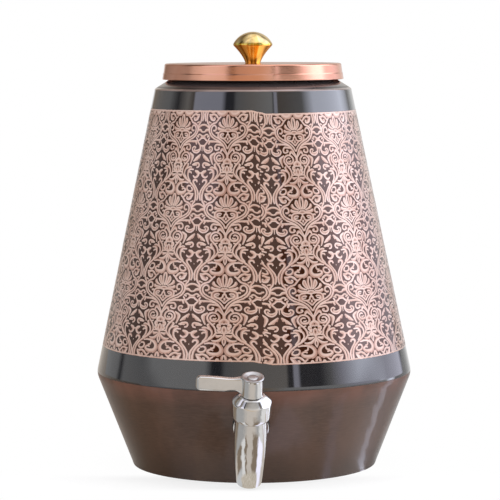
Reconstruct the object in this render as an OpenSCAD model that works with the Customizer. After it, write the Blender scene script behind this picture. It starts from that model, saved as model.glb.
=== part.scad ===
// Countertop water dispenser: a two-cone copper vessel with a lift-off lid and a
// quarter-turn tap. Millimetres, +Z up, the tap faces -Y, origin at the middle of the foot.

/* [Vessel] */
// Widest diameter, where the lines of the two cones meet
ridge_d = 200; // [190:1:215]
// Height of that corner above the floor
ridge_z = 58.6; // [54:0.2:66]
// Outside bend radius at the ridge
ridge_bend_r = 10; // [5:1:16]
// Diameter of the foot
foot_d = 154.4; // [148:0.2:162]
// Diameter at the corner of the shoulder
shoulder_d = 124; // [120:1:130]
// Height of the corner of the shoulder
shoulder_z = 238; // [225:1:260]
// Rise of the shoulder towards the neck, in degrees
shoulder_rise = 32.4; // [20:0.2:40]
// Bend radius at the corner of the shoulder
shoulder_bend_r = 2; // [1.5:0.1:3]
// Radius of the hollow where the shoulder turns up into the neck
neck_hollow_r = 1.5; // [1:0.1:2.5]
// Outside diameter of the neck
neck_d = 105.2; // [101:0.2:108]
// Height of the neck above its root in the shoulder
neck_h = 8.6; // [7.5:0.1:10]
// Radius of the rolled lip
lip_r = 1.4; // [1.1:0.1:1.6]
// Thickness of the sheet
sheet_t = 1; // [0.8:0.1:1.2]
// Height of the lap of the lower cone inside the upper one
lap_h = 8; // [5:0.5:14]

/* [Base plate] */
// Height of the hem folded up round the foot
hem_h = 1.6; // [1.3:0.1:3]
// Thickness of that hem
hem_t = 0.5; // [0.3:0.1:0.8]
// Width of the ring that the plate stands on
stand_ring_w = 15; // [8:1:24]
// Height by which the middle of the plate is raised
plate_lift = 2.5; // [1:0.5:5]

/* [Lid] */
// Height of the lid's skirt
lid_h = 10; // [9:0.5:12]
// Thickness of the lid's sheet
lid_t = 1; // [0.8:0.1:1.2]
// Radius that the skirt gains from top to bottom
lid_flare = 1.1; // [0.6:0.1:1.6]
// Height of the hem round the skirt's bottom
lid_band_h = 3.9; // [2.5:0.1:5]
// How far that hem stands out
lid_band_step = 0.25; // [0.1:0.05:0.5]
// Radius of the lid's top edge
lid_edge_r = 1.3; // [0.8:0.1:1.6]
// Gap between the rolled lip and the skirt, at the top of the lid
lid_side_clear = 0.4; // [0.35:0.05:0.8]
// Gap between the rolled lip and the lid's top
lid_top_clear = 0.3; // [0.3:0.05:0.5]

/* [Knob] */
// Height of the knob
knob_h = 19.8; // [16:0.1:26]
// Widest diameter of the knob
knob_d = 24.8; // [20:0.2:30]
// Height at which the knob is widest
knob_edge_z = 12.4; // [10:0.1:15]
// Diameter of the knob's stem where it meets the lid
knob_stem_d = 10; // [8:0.2:12]
// Rounding of the knob's widest edge
knob_edge_r = 0.7; // [0.4:0.1:1]
// Diameter of the knob's screw
knob_screw_d = 4; // [3:0.5:5]
// Depth of that screw in the knob
knob_screw_depth = 8; // [5:0.5:10]

/* [Tap] */
// Height of the spout's lowest edge above the floor
spout_clear = 1.5; // [1:0.5:12]
// Distance from the wall to the axis of the barrel
tap_reach = 17; // [15.5:0.5:24]
// Lean of the tap to the right, as it was tightened, in degrees
tap_lean = 2.5; // [-4:0.5:4]
// Widest diameter of the barrel
barrel_d = 20.1; // [19.6:0.1:22]
// Height of the barrel's widest place above the shank
barrel_belly_z = 1.5; // [0:0.5:4]
// Diameter of the barrel at the spout's mouth
spout_d = 14.9; // [13.8:0.1:16]
// Length of the barrel below the shank's axis
barrel_drop = 29.5; // [26:0.5:40]
// Height of the barrel's shoulder above the shank's axis
barrel_rise = 15; // [14:0.5:17]
// Diameter of the spout's bore
spout_bore_d = 10.4; // [8.4:0.2:11]
// Length of the spout's bore
spout_bore_l = 15; // [12:0.5:16]
// Diameter of the way through the valve's seat
seat_d = 8; // [6:0.2:8.2]
// Thickness of the ledge that carries the seat's seal
seat_ledge = 1.5; // [1:0.1:2]

/* [Tap fixing] */
// Diameter of the shank between the barrel and the flange
shank_d = 14; // [12:0.5:15]
// Diameter of the flange
flange_d = 22.8; // [20:0.2:26]
// Thickness of the flange
flange_t = 2; // [1.5:0.1:2.5]
// Thickness of the outer gasket, in the middle
outer_gasket_t = 1.5; // [1.2:0.1:2]
// Diameter of the threaded stud
stud_d = 16; // [14:0.5:17]
// Length of stud that shows past the lock nut
stud_end = 2.5; // [1:0.5:6]
// Diameter of the water way through the shank
water_way_d = 9; // [6:0.5:10]
// Clearance round the stud in the wall's hole
wall_hole_clear = 0.4; // [0.2:0.1:0.8]
// Diameter of the inner gasket and washer
inner_washer_d = 25; // [22:0.5:28]
// Thickness of the inner gasket, in the middle
inner_gasket_t = 2; // [1.8:0.1:3]
// Thickness of the inner washer
inner_washer_t = 1; // [0.8:0.1:2]
// Width across the flats of the lock nut
lock_nut_af = 24; // [21:0.5:26]
// Thickness of the lock nut
lock_nut_t = 5; // [4:0.5:7]

/* [Bonnet nut] */
// Diameter of the nut's collar
nut_d = 23.7; // [23:0.1:25]
// Height of the nut
nut_h = 16; // [15:0.5:18]
// Width across the six bevels at the nut's top
bevel_af = 14.8; // [13:0.2:16]
// Turn of the bevels from square, in degrees
nut_turn = 3; // [-30:1:30]
// Chamfer at the bottom of the collar
nut_chamfer = 1.6; // [0.8:0.1:2]
// Draft of the collar towards its bottom
nut_draft = 0.3; // [0:0.1:0.6]
// Diameter of the thread between nut and barrel
nut_thread_d = 17.8; // [17.4:0.1:18.2]
// Height of that thread
nut_thread_h = 9; // [8:0.5:10]

/* [Cartridge] */
// Diameter of the chamber in the barrel
chamber_d = 15.2; // [14.8:0.1:15.4]
// Diameter of the cartridge's sleeve
sleeve_d = 14.8; // [14.4:0.1:15]
// Diameter of the sleeve's inside
sleeve_bore_d = 12.8; // [12.4:0.1:13]
// Height of the windows in the sleeve
window_h = 9; // [6:0.5:10]
// Angle that each window takes, in degrees
window_angle = 90; // [60:5:110]
// Thickness of each ceramic disc
disc_t = 3; // [2.5:0.1:3.5]
// Angle of each port in the discs, in degrees
port_angle = 80; // [60:5:84]
// Inner radius of the ports
port_in_r = 2.4; // [2.2:0.1:2.8]
// Outer radius of the ports
port_out_r = 5; // [4.4:0.1:5.3]
// Thickness of the seat's seal
seat_seal_t = 1.4; // [1:0.1:2]
// Gap between the moving disc and the sleeve
disc_clear = 0.3; // [0.3:0.05:0.4]

/* [Spindle] */
// Diameter of the spindle in its gland
gland_d = 8.8; // [8.2:0.1:9.2]
// Diameter of the thin part of the spindle
spindle_d = 6.4; // [5.8:0.1:6.8]
// Radial clearance of the spindle in the sleeve
spindle_clear = 0.06; // [0.04:0.01:0.1]
// Width of the cross bar that turns the disc
bar_w = 3.2; // [2.6:0.1:3.6]
// Length of that bar
bar_l = 10; // [8:0.5:11]
// Depth of the bar's groove in the disc
bar_depth = 1.2; // [0.8:0.1:1.4]
// Height of the gland
gland_h = 14; // [12:0.5:15]
// Thickness of the thrust washer
thrust_t = 0.8; // [0.5:0.1:1]
// Diameter of an O-ring's section
o_ring_t = 1; // [0.8:0.1:1.2]
// Diameter of the spindle's splined end
spline_d = 6.2; // [5.6:0.1:6.4]
// Length of that end
spline_l = 6.8; // [5:0.2:7]

/* [Handle] */
// Diameter of the hub
hub_d = 12.7; // [12:0.1:14]
// Diameter of the hub's rim
hub_rim_d = 13.7; // [13:0.1:15]
// Height of the hub
hub_h = 12.2; // [11.6:0.1:13]
// Gap between the nut and the hub
hub_gap = 0.3; // [0.3:0.05:0.6]
// Reach of the lever from the axis
lever_l = 33.5; // [28:0.5:44]
// Height of the lever's paddle
paddle_h = 9.1; // [7:0.1:9.6]
// Length of the paddle
paddle_l = 17; // [12:0.5:24]
// Thickness of the lever
lever_t = 4.2; // [3.4:0.1:5]
// Drop of the paddle's top below the hub's rim
paddle_sink = 1; // [0:0.1:1.5]
// Radius of the paddle's corners
paddle_r = 3; // [2:0.1:3.4]
// Diameter of the handle's screw
handle_screw_d = 3; // [2.5:0.5:3]
// Diameter of the cap over that screw
handle_cap_d = 6.2; // [5.8:0.1:6.6]
// Depth of the dish round the cap
dish_depth = 0.7; // [0.3:0.1:1]

/* [Hidden] */

round_fn = 96;
small_fn = 48;
ring_fn = 24;
arc_step = 5;
// Play between pieces of one body, where a thread or a press would hold them
seat_play = 0.05;
// How far a cutter runs past the face that it cuts
over = 1;

copper = "#d7967d";
dark_lacquer = "#3c3c41";
brown_lacquer = "#4b372d";
brass = "#c88c28";
chrome = "#c8ccd0";
rubber_black = "#222222";
ceramic_white = "#eceae4";
steel = "#a8aaac";

// Cone angles, measured from the upright
ridge_r = ridge_d / 2;
shoulder_r = shoulder_d / 2;
foot_r = foot_d / 2;
upper_tilt = atan((ridge_r - shoulder_r) / (shoulder_z - ridge_z));
lower_tilt = atan((ridge_r - foot_r) / ridge_z);
neck_r = neck_d / 2;
neck_root_z = shoulder_z + (shoulder_r - neck_r) * tan(shoulder_rise);
lip_top_z = neck_root_z + neck_h;
lip_c = [neck_r - sheet_t + lip_r, lip_top_z - lip_r];

function dir(a) = [cos(a), sin(a)];
function lerp(a, b, k) = a + (b - a) * k;

// An arc of points about a centre, from one angle to another
function arc(c, r, a0, a1) =
    let(n = max(1, ceil(abs(a1 - a0) / arc_step)))
    [for (i = [0:n]) c + r * dir(lerp(a0, a1, i / n))];

// Centre of a bend of radius r in the corner v, between faces whose normals point at a0 and a1
function bend_centre(v, r, a0, a1) = v - r * (dir(a0) + dir(a1)) / (1 + dir(a0) * dir(a1));

function quad(p0, p1, p2, n) =
    [for (i = [0:n]) let(k = i / n) lerp(lerp(p0, p1, k), lerp(p1, p2, k), k)];

function cubic(p0, p1, p2, p3, n) =
    [for (i = [0:n]) let(k = i / n)
        lerp(lerp(lerp(p0, p1, k), lerp(p1, p2, k), k), lerp(lerp(p1, p2, k), lerp(p2, p3, k), k), k)];

function flip(list) = [for (i = [len(list) - 1:-1:0]) list[i]];

// Vessel

ridge_c = bend_centre([ridge_r, ridge_z], ridge_bend_r, -lower_tilt, upper_tilt);
shoulder_c = bend_centre([shoulder_r, shoulder_z], shoulder_bend_r, upper_tilt, 90 - shoulder_rise);
hollow_c = bend_centre([neck_r, neck_root_z], -neck_hollow_r, 90 - shoulder_rise, 0);

// Radius of the lower cone's surface at a height, sunk by a depth square to it
function lower_r(z, sunk) = foot_r + z * tan(lower_tilt) - sunk / cos(lower_tilt);

// Upper sheet from the ridge to the neck, sunk by a depth from its outer face
function upper_line(sunk) = concat(
    arc(ridge_c, ridge_bend_r - sunk, 0, upper_tilt),
    arc(shoulder_c, shoulder_bend_r - sunk, upper_tilt, 90 - shoulder_rise),
    arc(hollow_c, -(neck_hollow_r + sunk), 90 - shoulder_rise, 0),
    [[neck_r - sunk, lip_c[1]]]);

module upper_body() {
    color(dark_lacquer) rotate_extrude($fn = round_fn) {
        polygon(concat(upper_line(0), flip(upper_line(sheet_t))));
        translate(lip_c) circle(r = lip_r, $fn = small_fn);
    }
}

// A point of the lap, up the slope from the end of the bend
function lap_point(sunk) =
    ridge_c + (ridge_bend_r - sunk) * dir(upper_tilt) + lap_h * dir(90 + upper_tilt);

// Angle over which the sheet steps inwards below the ridge to form the lap
joggle_share = 0.4;
joggle = lower_tilt * joggle_share;
lower_outline = concat(
    [[lower_r(sheet_t, hem_t), sheet_t], [lower_r(hem_h, hem_t), hem_h], [lower_r(hem_h, 0), hem_h]],
    arc(ridge_c, ridge_bend_r, -lower_tilt, 0),
    arc(ridge_c, ridge_bend_r - sheet_t, 0, upper_tilt),
    [lap_point(sheet_t), lap_point(2 * sheet_t)],
    arc(ridge_c, ridge_bend_r - 2 * sheet_t, upper_tilt, -joggle),
    arc(ridge_c, ridge_bend_r - sheet_t, -2 * joggle, -lower_tilt),
    [[lower_r(hem_h + hem_t, sheet_t), hem_h + hem_t],
     [lower_r(hem_h, sheet_t + hem_t), hem_h], [lower_r(sheet_t, sheet_t + hem_t), sheet_t]]);

module lower_body() {
    color(brown_lacquer) difference() {
        rotate_extrude($fn = round_fn) polygon(lower_outline);
        at_tap() along_shank(tap_reach - over, tap_reach + 2 * sheet_t + over)
            circle(d = stud_d + 2 * wall_hole_clear, $fn = small_fn);
    }
}

module base_plate() {
    ring_in = lower_r(0, 0) - stand_ring_w;
    lifted = ring_in - plate_lift;
    hem_in = hem_t / cos(lower_tilt);
    color(brown_lacquer) rotate_extrude($fn = round_fn) polygon([
        [0, plate_lift], [lifted, plate_lift], [ring_in, 0], [lower_r(0, 0), 0],
        [lower_r(hem_h, 0), hem_h], [lower_r(hem_h, 0) - hem_in, hem_h],
        [lower_r(sheet_t, 0) - hem_in, sheet_t],
        [ring_in + sheet_t / 2, sheet_t], [lifted + sheet_t / 2, plate_lift + sheet_t],
        [0, plate_lift + sheet_t]]);
}

// Lid

lid_under_z = lip_top_z + lid_top_clear;
lid_top_z = lid_under_z + lid_t;
lid_foot_z = lid_top_z - lid_h;
lid_top_r = lip_c[0] + lip_r + lid_side_clear + lid_t;
lid_band_z = lid_foot_z + lid_band_h;

// Radius of the skirt at a height
function skirt_r(z) = lid_top_r + lid_flare * (lid_top_z - z) / lid_h;

module lid() {
    band_edge = 0.4;
    edge_c = [lid_top_r - lid_edge_r, lid_top_z - lid_edge_r];
    inner_c = [lid_top_r - lid_t, lid_under_z];
    color(copper) difference() {
        rotate_extrude($fn = round_fn) polygon(concat(
            [[0, lid_top_z]], flip(arc(edge_c, lid_edge_r, 0, 90)),
            [[skirt_r(lid_band_z), lid_band_z],
             [skirt_r(lid_band_z) + lid_band_step, lid_band_z - lid_band_step],
             [skirt_r(lid_foot_z) + lid_band_step, lid_foot_z + band_edge],
             [skirt_r(lid_foot_z) + lid_band_step - band_edge, lid_foot_z],
             [skirt_r(lid_foot_z) - lid_t, lid_foot_z], inner_c, [0, lid_under_z]]));
        translate([0, 0, lid_under_z - over])
            cylinder(d = knob_screw_hole_d, h = lid_t + 2 * over, $fn = small_fn);
    }
}

// Hollow under the knob's edge: the middle point of its curve, as shares of the overhang and height
knob_hollow = [0.22, 0.47];

module knob() {
    edge = [knob_d / 2, knob_edge_z];
    dome_h = knob_h - knob_edge_z - knob_edge_r;
    dome_base_r = knob_d / 2 - knob_edge_r / 4;
    dome_r = (dome_base_r * dome_base_r + dome_h * dome_h) / (2 * dome_h);
    dome_c = [0, knob_h - dome_r];
    dome_a = asin((knob_edge_z + knob_edge_r - dome_c[1]) / dome_r);
    stem = [knob_stem_d / 2, 0];
    under_end = [edge[0] - knob_edge_r / 2, knob_edge_z - knob_edge_r];
    under_mid = [lerp(stem[0], edge[0], knob_hollow[0]), knob_edge_z * knob_hollow[1]];
    color(brass) translate([0, 0, lid_top_z]) difference() {
        rotate_extrude($fn = round_fn) polygon(concat(
            [[0, 0]], quad(stem, under_mid, under_end, 10), [edge],
            arc(dome_c, dome_r, dome_a, 90)));
        translate([0, 0, -over])
            cylinder(d = knob_screw_hole_d, h = knob_screw_depth + 2 * over, $fn = small_fn);
    }
}

knob_washer_t = 0.8;
knob_washer_d = 2.4 * knob_screw_d;
knob_screw_hole_d = knob_screw_d + 2 * seat_play;

module knob_washer() {
    color(steel) translate([0, 0, lid_under_z - knob_washer_t]) difference() {
        cylinder(d = knob_washer_d, h = knob_washer_t, $fn = small_fn);
        translate([0, 0, -over])
            cylinder(d = knob_screw_hole_d, h = knob_washer_t + 2 * over, $fn = small_fn);
    }
}

module knob_screw() {
    head_d = 1.9 * knob_screw_d;
    head_h = 0.55 * knob_screw_d;
    slot_w = 0.2 * knob_screw_d;
    color(steel) translate([0, 0, lid_under_z - knob_washer_t]) difference() {
        union() {
            translate([0, 0, -head_h]) cylinder(d = head_d, h = head_h, $fn = small_fn);
            cylinder(d = knob_screw_d, h = knob_washer_t + lid_t + knob_screw_depth, $fn = small_fn);
        }
        translate([-knob_screw_d, -slot_w / 2, -head_h - over])
            cube([2 * knob_screw_d, slot_w, over + head_h / 2]);
    }
}

// Tap frame: local Z runs up the barrel, local +Y along the shank into the vessel, and the
// origin is where the two axes cross

barrel_up = cos(lower_tilt) * cos(tap_lean);
axis_z = spout_clear + barrel_drop * barrel_up + spout_d / 2 * sqrt(1 - barrel_up * barrel_up);
hole_z = axis_z + tap_reach * sin(lower_tilt);
axis_y = lower_r(hole_z, 0) + tap_reach * cos(lower_tilt);

module at_tap() {
    translate([0, -axis_y, axis_z]) rotate([lower_tilt, 0, 0]) rotate([0, tap_lean, 0]) children();
}

// Extrudes a shape along the shank, from one distance from the barrel's axis to another
module along_shank(y0, y1) {
    translate([0, y1, 0]) rotate([90, 0, 0]) linear_extrude(y1 - y0) children();
}

flange_y = tap_reach - outer_gasket_t - flange_t;
inner_gasket_y = tap_reach + sheet_t;
inner_washer_y = inner_gasket_y + inner_gasket_t;
lock_nut_y = inner_washer_y + inner_washer_t;
stud_end_y = lock_nut_y + lock_nut_t + stud_end;

seat_z = spout_bore_l - barrel_drop + seat_ledge;
belly_sag = (barrel_d - spout_d) / 2;
belly_drop = barrel_drop + barrel_belly_z;
belly_arc_r = (belly_drop * belly_drop + belly_sag * belly_sag) / (2 * belly_sag);
belly_c = [barrel_d / 2 - belly_arc_r, barrel_belly_z];
spigot_top_z = barrel_rise + nut_thread_h;

// Outline of the barrel between two heights, as one long arc
function belly(z0, z1, n) =
    [for (i = [0:n]) let(a = lerp(asin((z0 - belly_c[1]) / belly_arc_r),
                                  asin((z1 - belly_c[1]) / belly_arc_r), i / n))
        belly_c + belly_arc_r * dir(a)];

module tap_body() {
    lip_edge = 0.5;
    mouth_r = spout_bore_d / 2;
    color(chrome) at_tap() difference() {
        union() {
            rotate_extrude($fn = round_fn) polygon(concat(
                [[0, -barrel_drop], [spout_d / 2 - lip_edge, -barrel_drop]],
                belly(lip_edge - barrel_drop, barrel_rise, 14),
                [[nut_thread_d / 2, barrel_rise], [nut_thread_d / 2, spigot_top_z],
                 [0, spigot_top_z]]));
            along_shank(0, flange_y) circle(d = shank_d, $fn = small_fn);
            along_shank(flange_y, flange_y + flange_t) circle(d = flange_d, $fn = round_fn);
            along_shank(flange_y + flange_t, stud_end_y) circle(d = stud_d, $fn = small_fn);
        }
        translate([0, 0, -barrel_drop - over])
            cylinder(r = mouth_r, h = spout_bore_l + over, $fn = small_fn);
        translate([0, 0, seat_z - seat_ledge - over])
            cylinder(d = seat_d, h = seat_ledge + 2 * over, $fn = small_fn);
        translate([0, 0, seat_z])
            cylinder(d = chamber_d, h = spigot_top_z - seat_z + over, $fn = round_fn);
        along_shank(0, stud_end_y + over) circle(d = water_way_d, $fn = small_fn);
    }
}

// A flat ring on the shank
module shank_ring(y, t, d, hole_d) {
    along_shank(y, y + t) difference() {
        circle(d = d, $fn = round_fn);
        circle(d = hole_d, $fn = small_fn);
    }
}

// Solid cone with the lower wall's face, sunk by a depth
module lower_cone(sunk) {
    cylinder(r1 = lower_r(0, sunk), r2 = lower_r(ridge_z, sunk), h = ridge_z, $fn = 4 * round_fn);
}

stud_hole_d = stud_d + 2 * seat_play;
// How much smaller than its metal seat a gasket is across
gasket_inset = 0.5;
// Extra length of the outer gasket before the round wall cuts it to fit
gasket_hug = 1.5;

module outer_gasket() {
    color(rubber_black) difference() {
        at_tap() shank_ring(
            flange_y + flange_t, outer_gasket_t + gasket_hug, flange_d - gasket_inset, stud_hole_d);
        lower_cone(0);
    }
}

module inner_gasket() {
    color(rubber_black) intersection() {
        at_tap() shank_ring(
            inner_gasket_y - over, inner_gasket_t + over, inner_washer_d - gasket_inset, stud_hole_d);
        lower_cone(sheet_t);
    }
}

module inner_washer() {
    color(steel) at_tap() shank_ring(inner_washer_y, inner_washer_t, inner_washer_d, stud_hole_d);
}

module lock_nut() {
    color(steel) at_tap() along_shank(lock_nut_y, lock_nut_y + lock_nut_t) difference() {
        circle(d = lock_nut_af / cos(30), $fn = 6);
        circle(d = stud_hole_d, $fn = small_fn);
    }
}

nut_top_z = barrel_rise + nut_h;
sleeve_flange_t = 1.4;
sleeve_flange_top = spigot_top_z + sleeve_flange_t;
// Top of the sleeve, which the spindle and the nut pass round
guide_wall = 0.6;
guide_d = gland_d + 2 * guide_wall;
nut_hole_r = guide_d / 2 + 2 * seat_play;

module bonnet_nut() {
    cutter = nut_d;
    color(chrome) at_tap() difference() {
        rotate_extrude($fn = round_fn) polygon([
            [nut_thread_d / 2 + seat_play, barrel_rise],
            [nut_d / 2 - nut_draft - nut_chamfer, barrel_rise],
            [nut_d / 2 - nut_draft, barrel_rise + nut_chamfer],
            [nut_d / 2, barrel_rise + nut_h / 2], [nut_d / 2, nut_top_z],
            [nut_hole_r, nut_top_z], [nut_hole_r, sleeve_flange_top],
            [nut_thread_d / 2 + seat_play, sleeve_flange_top]]);
        for (i = [0:5]) rotate([0, 0, nut_turn + 60 * i])
            translate([-cutter / 2, -bevel_af / 2, nut_top_z]) rotate([45, 0, 0])
                translate([0, -cutter, 0]) cube([cutter, cutter, cutter / 2]);
    }
}

// Valve, stacked upwards from the seat

fixed_z = seat_z + seat_seal_t;
moving_z = fixed_z + disc_t;
moving_top = moving_z + disc_t;
sleeve_foot_z = fixed_z + 2 * seat_play;
window_z = moving_top + 1;
// Sleeve between the windows' top and the gland, where the spindle's collar runs
collar_room = 4.6;
gland_z = window_z + window_h + collar_room;
gland_top = gland_z + gland_h;
guide_top = nut_top_z - 1;
// End play of the spindle's gland part
end_play = 0.5;
// Height of the sleeve's seal below the gland's top
sleeve_seal_drop = 2.5;
sleeve_seal_z = gland_top - sleeve_seal_drop;
sleeve_groove_r = chamber_d / 2 - o_ring_t;

module seat_seal() {
    color(rubber_black) at_tap() translate([0, 0, seat_z]) difference() {
        cylinder(d = chamber_d - 4 * seat_play, h = seat_seal_t, $fn = small_fn);
        translate([0, 0, -over])
            cylinder(r = port_out_r + 4 * seat_play, h = seat_seal_t + 2 * over, $fn = small_fn);
    }
}

// Two sector ports, opposite each other, the first at an angle
module ports(at) {
    reach = 2 * port_out_r;
    for (s = [0, 180]) rotate(at + s) intersection() {
        difference() {
            circle(r = port_out_r, $fn = small_fn);
            circle(r = port_in_r, $fn = small_fn);
        }
        polygon([[0, 0], reach * dir(-port_angle / 2), reach * [1, 0], reach * dir(port_angle / 2)]);
    }
}

module fixed_disc() {
    color(ceramic_white) at_tap() translate([0, 0, fixed_z]) linear_extrude(disc_t) difference() {
        circle(d = sleeve_bore_d - 2 * seat_play, $fn = small_fn);
        ports(0);
    }
}

module moving_disc() {
    groove_w = bar_w + 4 * seat_play;
    color(ceramic_white) at_tap() difference() {
        translate([0, 0, moving_z]) linear_extrude(disc_t) difference() {
            circle(d = sleeve_bore_d - 2 * disc_clear, $fn = small_fn);
            ports(90);
        }
        translate([-sleeve_bore_d / 2, -groove_w / 2, moving_top - bar_depth])
            cube([sleeve_bore_d, groove_w, bar_depth + over]);
    }
}

module cartridge_body() {
    color(brass) at_tap() difference() {
        rotate_extrude($fn = round_fn) polygon([
            [sleeve_bore_d / 2, sleeve_foot_z], [sleeve_d / 2, sleeve_foot_z],
            [sleeve_d / 2, sleeve_seal_z - o_ring_t], [sleeve_groove_r, sleeve_seal_z - o_ring_t],
            [sleeve_groove_r, sleeve_seal_z + o_ring_t], [sleeve_d / 2, sleeve_seal_z + o_ring_t],
            [sleeve_d / 2, spigot_top_z], [nut_thread_d / 2 - seat_play, spigot_top_z],
            [nut_thread_d / 2 - seat_play, sleeve_flange_top], [guide_d / 2, sleeve_flange_top],
            [guide_d / 2, guide_top], [spindle_d / 2 + spindle_clear, guide_top],
            [spindle_d / 2 + spindle_clear, gland_top], [gland_d / 2 + spindle_clear, gland_top],
            [gland_d / 2 + spindle_clear, gland_z], [sleeve_bore_d / 2, gland_z]]);
        for (s = [90, 270]) rotate([0, 0, s]) translate([0, 0, window_z]) linear_extrude(window_h)
            polygon([[0, 0], sleeve_d * dir(-window_angle / 2), [sleeve_d, 0],
                     sleeve_d * dir(window_angle / 2)]);
    }
}

module cartridge_o_ring() {
    color(rubber_black) at_tap() translate([0, 0, sleeve_seal_z]) rotate_extrude($fn = small_fn)
        translate([sleeve_groove_r + o_ring_t / 2, 0]) circle(d = o_ring_t - seat_play, $fn = ring_fn);
}

collar_t = 1.4;
collar_d = sleeve_bore_d - 1;
thrust_z = gland_z - thrust_t;
// Places of the two seals, as shares of the gland's height
ring_spots = [0.3, 0.65];
groove_r = gland_d / 2 + spindle_clear - o_ring_t;
hub_z = nut_top_z + hub_gap;
spline_top = hub_z + spline_l;
spline_sides = 12;
spline_hole_d = spline_d + 2 * seat_play;
screw_grip = 8;

module spindle() {
    bar_z = moving_top - bar_depth;
    bar_h = bar_depth + 2;
    thin_r = spindle_d / 2;
    color(brass) at_tap() difference() {
        union() {
            rotate_extrude($fn = small_fn) polygon(concat(
                [[0, moving_top], [thin_r, moving_top], [thin_r, thrust_z - collar_t],
                 [collar_d / 2, thrust_z - collar_t], [collar_d / 2, thrust_z],
                 [gland_d / 2, thrust_z]],
                [for (k = ring_spots) let(z = gland_z + k * gland_h)
                    for (p = [[gland_d / 2, z - o_ring_t], [groove_r, z - o_ring_t],
                              [groove_r, z + o_ring_t], [gland_d / 2, z + o_ring_t]]) p],
                [[gland_d / 2, gland_top - end_play], [thin_r, gland_top - end_play],
                 [thin_r, hub_z], [0, hub_z]]));
            translate([-bar_l / 2, -bar_w / 2, bar_z]) cube([bar_l, bar_w, bar_h]);
            translate([0, 0, hub_z - over])
                cylinder(d = spline_d, h = spline_l + over, $fn = spline_sides);
        }
        translate([0, 0, spline_top - screw_grip])
            cylinder(d = handle_screw_d + 2 * seat_play, h = screw_grip + over, $fn = small_fn);
    }
}

module spindle_o_rings() {
    ring_d = o_ring_t - 2 * seat_play;
    color(rubber_black) at_tap() for (k = ring_spots) translate([0, 0, gland_z + k * gland_h])
        rotate_extrude($fn = small_fn) translate([groove_r + ring_d / 2, 0])
            circle(d = ring_d, $fn = ring_fn);
}

module thrust_washer() {
    color(ceramic_white) at_tap() translate([0, 0, thrust_z]) difference() {
        cylinder(d = collar_d, h = thrust_t, $fn = small_fn);
        translate([0, 0, -over])
            cylinder(d = gland_d + 2 * seat_play, h = thrust_t + 2 * over, $fn = small_fn);
    }
}

// Handle

rim_z = hub_z + hub_h;
stack_gap = 0.2;
web_z = spline_top + stack_gap;
web_t = 1.4;
screw_head_h = 1.6;
screw_head_z = web_z + web_t;
cap_z = screw_head_z + screw_head_h + stack_gap;
dish_z = rim_z - dish_depth;

// The hub stands on a small foot, swells to its rim and is dished on top
hub_foot = [0.2, 1.4];
hub_swell = [0.6, 0.85];
rim_edge = 0.7;
rim_w = 1;
dish_w = 0.5;
hub_outline = concat(
    [[0, hub_z], [hub_d / 2 + hub_foot[0], hub_z], [hub_d / 2, hub_z + hub_foot[1]]],
    quad([hub_d / 2, hub_z + hub_h * hub_swell[0]], [hub_d / 2, hub_z + hub_h * hub_swell[1]],
         [hub_rim_d / 2, rim_z - rim_edge], 6),
    [[hub_rim_d / 2 - rim_edge / 2, rim_z], [hub_rim_d / 2 - rim_w, rim_z],
     [handle_cap_d / 2 + dish_w, dish_z], [0, dish_z]]);

// Side outline of the lever, which points at -X
paddle_top = rim_z - paddle_sink;
paddle_foot = paddle_top - paddle_h;
hub_side = -hub_d / 2;
lever_root_top = rim_z - 0.8;
lever_root_foot = hub_z + 0.4;
lever_top = cubic([paddle_r - lever_l, paddle_top], [-0.55 * lever_l, paddle_top + 0.3],
    [-0.4 * lever_l, paddle_top - 1.8], [hub_side, lever_root_top], 12);
lever_under = cubic([hub_side + 0.3, lever_root_foot], [hub_side - 3.2, lever_root_foot + 3.2],
    [hub_side - 5.4, paddle_foot + 1.5], [paddle_l - lever_l, paddle_foot], 12);
lever_outline = concat(
    [[0, lever_root_foot]], lever_under,
    flip(arc([paddle_r - lever_l, paddle_foot + paddle_r], paddle_r, 180, 270)),
    flip(arc([paddle_r - lever_l, paddle_top - paddle_r], paddle_r, 90, 180)),
    lever_top, [[0, lever_root_top]]);

module lever() {
    tip_r = lever_t / 2;
    root_r = tip_r + 0.5;
    root_l = 4;
    intersection() {
        translate([0, lever_t, 0]) rotate([90, 0, 0]) linear_extrude(2 * lever_t) polygon(lever_outline);
        translate([0, 0, hub_z]) linear_extrude(hub_h) polygon(concat(
            [[0, -root_r], [0, root_r], [hub_side - root_l, tip_r]],
            arc([tip_r - lever_l, 0], tip_r, 90, 270),
            [[hub_side - root_l, -tip_r]]));
    }
}

module handle() {
    color(chrome) at_tap() difference() {
        union() {
            rotate_extrude($fn = round_fn) polygon(hub_outline);
            lever();
        }
        translate([0, 0, hub_z - over])
            cylinder(d = spline_hole_d, h = web_z - hub_z + over, $fn = spline_sides);
        cylinder(d = handle_screw_d + 4 * seat_play, h = rim_z + over, $fn = small_fn);
        translate([0, 0, screw_head_z])
            cylinder(d = handle_cap_d + 2 * seat_play, h = hub_h, $fn = small_fn);
    }
}

module handle_screw() {
    head_d = 1.7 * handle_screw_d;
    slot_w = 0.8;
    tip_z = spline_top - screw_grip + seat_play;
    color(steel) at_tap() difference() {
        union() {
            translate([0, 0, screw_head_z]) cylinder(d = head_d, h = screw_head_h, $fn = small_fn);
            translate([0, 0, tip_z])
                cylinder(d = handle_screw_d, h = screw_head_z - tip_z, $fn = small_fn);
        }
        translate([-handle_screw_d, -slot_w / 2, screw_head_z + screw_head_h / 2])
            cube([2 * handle_screw_d, slot_w, screw_head_h]);
    }
}

module handle_cap() {
    dome_h = 0.5;
    cap_r = handle_cap_d / 2;
    color(chrome) at_tap() rotate_extrude($fn = small_fn) polygon(concat(
        [[0, cap_z], [cap_r, cap_z]],
        quad([cap_r, dish_z], [cap_r * 0.7, dish_z + dome_h], [0, dish_z + dome_h], 6)));
}

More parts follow.
